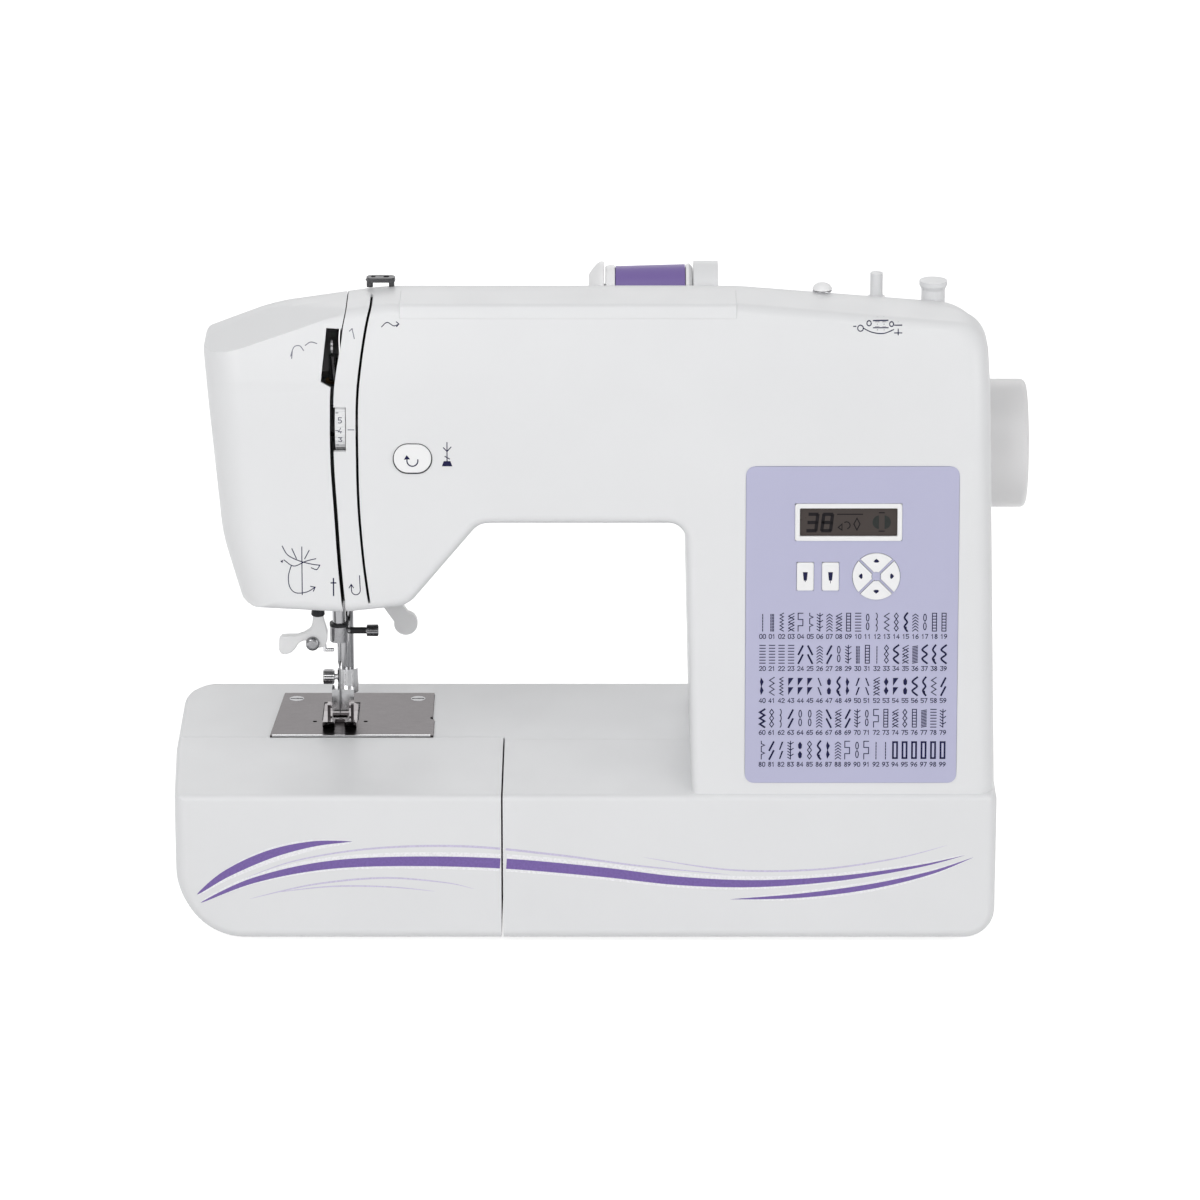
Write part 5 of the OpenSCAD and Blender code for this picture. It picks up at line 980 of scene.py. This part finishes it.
for row, kinds in enumerate(KINDS):
    for col, kind in enumerate(kinds):
        x, z = FIRST_X + PITCH_X * col, FIRST_Z - PITCH_Z * row
        heavy = kind in BOLD or (row, col) == (3, 0)
        group = fills if kind >= FIRST_FILLED else bold if heavy else thin
        group += [[(x + (u - 50) * GLYPH_W, z + v * GLYPH_H) for u, v in line] for line in STITCHES[kind]]
        figures += number(f"{row * len(kinds) + col:02d}", x, z - 2.5, 1.9)
on_film = flat_panel(0.33)
ribbons("stitch_chart", thin, 0.42, on_film, INK, fills=fills)
ribbons("stitch_chart_bold", bold, 0.85, on_film, INK)
ribbons("stitch_numbers", figures, 0.36, on_film, INK)

# The display; a seven-segment 3 leaves out the last two segments
SEGMENTS = [((0.12, 1), (0.88, 1)), ((1, 0.92), (1, 0.56)), ((1, 0.44), (1, 0.08)), ((0.12, 0), (0.88, 0)),
            ((0.12, 0.5), (0.88, 0.5)), ((0, 0.44), (0, 0.08)), ((0, 0.92), (0, 0.56))]
LCD_INK = ink("display_ink", (0.012, 0.01, 0.012))
digits = [[(x + u * 4 + v * 0.9, 196.7 + v * 7.6) for u, v in s]
          for x, lit in ((94.3, SEGMENTS[:5]), (101, SEGMENTS)) for s in lit]
ribbons("display_digits", digits, 1.5, flat_panel(-0.22), LCD_INK)
ribbons("display_icons", [
    [(108.2, 204.3), (119.5, 204.3)], [(108.5, 198.2), (110.2, 199.8), (110.2, 197), (108.5, 198.2)],
    arc_line(112.3, 199.2, 1.6, -70, 120, 8), [(127.2, 205), (129.4, 205)], [(127.2, 196.5), (129.4, 196.5)],
    [(117, 197), (115.6, 199.8), (117, 202.4), (118.4, 199.8), (117, 197)],
], 0.5, flat_panel(-0.22), LCD_INK)
ribbons("display_foot", [], 0.9, flat_panel(-0.24), ink("display_pale", (0.028, 0.032, 0.03)),
        [arc_line(127.3, 200.6, 3.2, 95, 265, 12), arc_line(129.3, 200.6, 3.2, -85, 85, 12)])

# The keys
on_keys = flat_panel(1.02)
for x, body, tip in ((KEY_XS[0], "left_key", 0.5), (KEY_XS[1], "right_key", 1.1)):
    ribbons("key_mark_" + body, [[(0, -2), (0, -2 - tip)]], 0.3, on_keys, INK,
            [[(-1.1, 1.9), (1.1, 1.9), (0.7, -2), (-0.7, -2)]], (x, KEY_Z), body)
WEDGE = [(8.1, 0), (7.4, 0.9), (6.7, 1.35), (6.3, 0.6), (6.3, -0.6), (6.7, -1.35), (7.4, -0.9)]
for a, body in ((0, "rightward_key"), (90, "up_key"), (180, "leftward_key"), (270, "down_key")):
    c, s = math.cos(math.radians(a)), math.sin(math.radians(a))
    wedge = [(u * c - v * s, u * s + v * c) for u, v in WEDGE]
    ribbons("arrow_mark_" + body, [], 0.3, on_keys, INK, [wedge], (PAD_X, KEY_Z), body)

# The head
on_front, on_cover = onto(front), onto(cover)
ribbons("reverse_mark", [arc_line(0, -0.4, 2.5, 10, -190)], 0.55, onto(NODES["reverse_button"]), INK,
        [[(-3.9, 0.1), (-1, 0.3), (-2.6, 2.2)]], BUTTON, "reverse_key")
ribbons("foot_mark", [[(0, 7), (0, -1.5)], [(-1.6, 4.6), (0, 2.9), (1.8, 4.9)], [(-0.9, 0.6), (1.1, -0.5)]],
        0.45, on_front, INK, [[(-2.4, -3.9), (2.4, -3.9), (1.5, -1.5), (-1.5, -1.5)]],
        (NX + 53.4, TOP - 67.2))
ribbons("winding_mark", [
    [(-12.6, 1.2), (-11.6, 1.2)], arc_line(-9.5, 0.4, 1.3, 0, 360, 12),
    curve([(-8.2, 0.4), (-4, -1.4), (1, -1.8), (5.5, -0.2)]), [(6, 1.6), (9.2, 1.6)],
    [(6, -1.6), (9.2, -1.6)], [(7.6, 2.6), (7.6, -2.4)], [(-3.6, 3.4), (3, 3.4)], [(-3.6, 0.6), (3, 0.6)],
    [(-1.8, 4.4), (-1.8, -0.2)], [(1.2, 4.4), (1.2, -0.2)], arc_line(-5.6, 2.4, 1, 0, 360, 12),
    arc_line(4.6, 2, 0.9, 0, 360, 12),
], 0.45, on_front, INK, [[(-2.9, 3), (-2.9, 1), (-0.9, 1), (-0.9, 3)],
                         [(0.4, 3), (0.4, 1), (2.2, 1), (2.2, 3)]], (127.6, 287.4))
ribbons("guide_mark", [curve([(-99, 288.4), (-96.5, 290.3), (-93.5, 288.8), (-91.2, 289.6)]),
                       [(-91.2, 289.6), (-92.3, 290.5)], [(-91.2, 289.6), (-92.2, 288.5)]],
        0.4, on_front, INK)
ribbons("lever_mark", [
    curve([(-5.6, -3.2), (-4.2, 0.6), (-1.6, 1.2), (0.2, -0.8)]), curve([(1, 1.4), (3.4, 2.8), (6.2, 2.2)]),
    [(-4.9, -1.2), (-5.2, -4.2)],
], 0.4, on_cover, INK_SOFT, at=(-134.6, TOP - 18.4))
ribbons("threader_mark", [
    curve([(-8.6, 7.6), (-6.2, 3.6), (-1.4, 1), (4.2, -0.6), (8.4, -1.2)]),
    curve([(-7.8, 1.2), (-3.4, -1.6), (2, 0.6), (6.6, 1.8)]),
    [(0.3, 7.2), (0.3, -14.8)], [(3.6, 5.6), (1.6, 1.8)], [(-4.2, 6.4), (-2.2, 1.9)],
    curve([(-4.6, -1.4), (-5.9, -6.2), (-5.4, -11.2), (-2.6, -14), (2.4, -13.6), (6.2, -11.4)]),
    [(6.2, -11.4), (4.2, -11)], [(6.2, -11.4), (5.4, -13.2)],
    curve([(8.4, -1.2), (7, -3.2), (4.6, -2.4)]),
], 0.42, on_cover, INK, [[(-9.6, 0.7), (-8.2, 1.3), (-8.6, -0.2)]], (-136.2, 182))
ribbons("needle_mark", [[(-121.6, 174.6), (-121.6, 166.8)], [(-122.6, 172.6), (-120.6, 172.6)]],
        0.6, on_cover, INK)
ribbons("path_mark", [
    [(1.6, 5.4), (1.9, -1.2)], arc_line(-0.1, -1.4, 2, 0, -180, 10), [(-2.1, -1.4), (-2.2, 1)],
    [(-3.2, -0.2), (-2.2, 1.4), (-1.2, -0.1)],
], 0.42, on_front, INK, at=(-111.3, 170.5))
ribbons("line_mark", [[(-112.4, 287.6), (-111.4, 283.4)], [(-112.4, 287.6), (-113.6, 286.6)]], 0.4, on_front,
        INK_SOFT)
ribbons("dial_tick", [[(-114.4, DIAL_Z), (-111.8, DIAL_Z)]], 0.4, on_front, INK_SOFT)


def on_dial(x, z):
    """Round the dial's rim, z read as arc length."""
    a = (z - DIAL_Z) / DIAL_R
    return Vector((x, DIAL_Y - DIAL_R * math.cos(a), DIAL_Z + DIAL_R * math.sin(a)))


dial_lines = [[(DIAL_X - 1.9, DIAL_Z + 4.1 * k), (DIAL_X - 0.9, DIAL_Z + 4.1 * k)] for k in (-2, 0, 2)]
for text, up in (("4", 0), ("3", -4.7), ("5", 4.7)):
    dial_lines += number(text, DIAL_X, DIAL_Z + up, 2.4)
ribbons("dial_numbers", dial_lines, 0.32, on_dial, INK, body="dial")

# Sweeping stripes, split at the seam between table and base


def tapered(most, power, skew=0.5):
    """Width along a stripe that swells from nothing; skew is the share of the length at its widest."""
    bend = math.log(0.5) / math.log(skew)
    return lambda t: max(0.02, most * math.sin(math.pi * min(1, t ** bend)) ** power)


def stripe(name, points, width, material, lift):
    """Ribbon on the front, parted where the table meets the base."""
    verts, faces = [], []
    strip_faces(curve(points, 16), width, verts, faces, 1.5)
    sides = ("table", "table", X0, TABLE_X1 - 1.2), ("base", "chassis", BASE_X + 1.2, X1)
    for side, body, low, high in sides:
        keep = [f for f in faces if low < sum(verts[i].x for i in f) / 4 < high]
        if keep:
            used = sorted({i for f in keep for i in f})
            spots = [(verts[i].x, -79.95 - lift, verts[i].y) for i in used]
            obj = from_lists(f"{name}_{side}", spots, [tuple(used.index(i) for i in f) for f in keep])
            obj.data.materials.append(material)
            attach(obj, body)


MAIN = [(-184.5, 21.5), (-160, 32.5), (-128, 39.8), (-92, 42), (-46, 41), (0, 36.8), (36, 32.4), (72, 31),
        (110, 33.6), (146, 39.4), (168, 45)]
HOOK = [(-186, 25.6), (-172, 36), (-152, 45.5), (-132, 50.6), (-114, 51.8)]
RISE = [(60, 23.2), (92, 25), (124, 29.4), (152, 36.2), (172, 44)]
for name, points, taper, material, lift in (
    ("main_edge", [(x, z + 0.4) for x, z in MAIN], (8.6, 0.7, 0.42), STRIPE_WHITE, 0.012),
    ("main", MAIN, (5, 0.75, 0.4), STRIPE, 0.024),
    ("hook_edge", [(x + 0.4, z - 0.5) for x, z in HOOK], (7.2, 0.8), STRIPE_WHITE, 0.012),
    ("hook", HOOK, (4.2, 0.8, 0.42), STRIPE, 0.024),
    ("rise_edge", RISE, (5.2, 0.8), STRIPE_WHITE, 0.012),
    ("rise", RISE, (2.6, 0.8), STRIPE, 0.024),
    ("thin_a", [(-164, 33.5), (-140, 42.4), (-104, 48.4), (-62, 49.4), (-20, 45.2), (18, 39.8), (60, 35.4)],
     (1.1, 0.6), STRIPE_PALE, 0.03),
    ("thin_b", [(-162, 23.4), (-132, 30.6), (-100, 33.8), (-72, 31.6), (-58, 28.4)],
     (0.9, 0.6), STRIPE_PALE, 0.03),
    ("thin_c", [(-150, 26.6), (-124, 29.6), (-98, 29.4), (-76, 27.2)], (0.7, 0.6), STRIPE_PALE, 0.033),
    ("thin_d", [(20, 44), (60, 37.8), (100, 38), (136, 43.4), (160, 50)], (0.9, 0.6), STRIPE_PALE, 0.03),
):
    stripe("stripe_" + name, points, tapered(*taper), material, lift)


# ---- Stage, light and camera

WHITE = (1, 1, 1, 1)


def emptied(owner):
    """Node tree of a material or world, cleared, and what it tells about rays."""
    owner.use_nodes = True
    owner.node_tree.nodes.clear()
    return owner.node_tree, add_node(owner.node_tree, "LightPath").outputs


# The floor is white to the eye and in reflections, yet takes the object's shadow
pale = bpy.data.materials.new("floor_pale")
tree, path = emptied(pale)
seen = math_node(tree, "MAXIMUM", path["Is Camera Ray"], path["Is Glossy Ray"])
seen = math_node(tree, "MAXIMUM", seen, path["Is Transmission Ray"])
glow = add_node(tree, "Emission", {"Color": WHITE, "Strength": math_node(tree, "MULTIPLY", seen, 0.75)})
diffuse = add_node(tree, "BsdfDiffuse", {"Color": (0.8, 0.8, 0.8, 1)})
both = add_node(tree, "AddShader", {0: diffuse.outputs[0], 1: glow.outputs[0]})
add_node(tree, "OutputMaterial", {"Surface": both.outputs[0]})
corners = [(-3000, -4000, 0), (3000, -4000, 0), (3000, 4000, 0), (-3000, 4000, 0)]
floor = from_lists("floor", corners, [(0, 1, 2, 3)])
floor.data.materials.append(pale)

# Mirrors and glass see the white backdrop behind the object and a dimmer studio in front of it
scene.world = bpy.data.worlds.new("studio")
tree, path = emptied(scene.world)
mirror = math_node(tree, "MAXIMUM", path["Is Glossy Ray"], path["Is Transmission Ray"])
parts = add_node(tree, "SeparateXYZ", {0: add_node(tree, "TexCoord").outputs["Generated"]})
behind = add_node(tree, "MapRange", {"Value": parts.outputs["Y"], "From Min": -0.25, "From Max": 0.35})
seen = math_node(tree, "MULTIPLY", mirror, behind.outputs[0])
share = math_node(tree, "MAXIMUM", path["Is Camera Ray"], seen)
ambient, white = (add_node(tree, "Background", {"Color": WHITE, "Strength": k}).outputs[0] for k in (0.5, 1))
mix = add_node(tree, "MixShader", {"Fac": share, 1: ambient, 2: white})
add_node(tree, "OutputWorld", {"Surface": mix.outputs[0]})


def aim(obj, at, target):
    obj.location = at
    obj.rotation_euler = (Vector(target) - Vector(at)).to_track_quat("-Z", "Y").to_euler()


for name, at, target, size, power in (
    ("key", (-0.9, -1.9, 1.25), (0, 0, 0.15), (1.2, 1), 17),
    ("fill", (1.5, -1.3, 0.7), (0, 0, 0.15), (1, 1), 6),
    ("high", (0.15, -1.5, 2.1), (0, 0, 0.12), (1.4, 0.9), 6),
    ("back", (0.1, 2.3, 1.35), (0, 0.05, 0.1), (2, 1), 5.5),
):
    light = bpy.data.lights.new(name, "AREA")
    light.shape, light.energy = "RECTANGLE", power
    light.size, light.size_y = size
    aim(new_object(name, light), at, target)

lens = bpy.data.cameras.new("camera")
lens.lens, lens.sensor_width, lens.sensor_fit = 194.8, 36, "HORIZONTAL"
lens.clip_start, lens.clip_end = 0.05, 30
scene.camera = new_object("camera", lens)
aim(scene.camera, (0, -2.8691, 1.1297), (0, -0.0325, 0.153))
scene.view_settings.view_transform = "Standard"
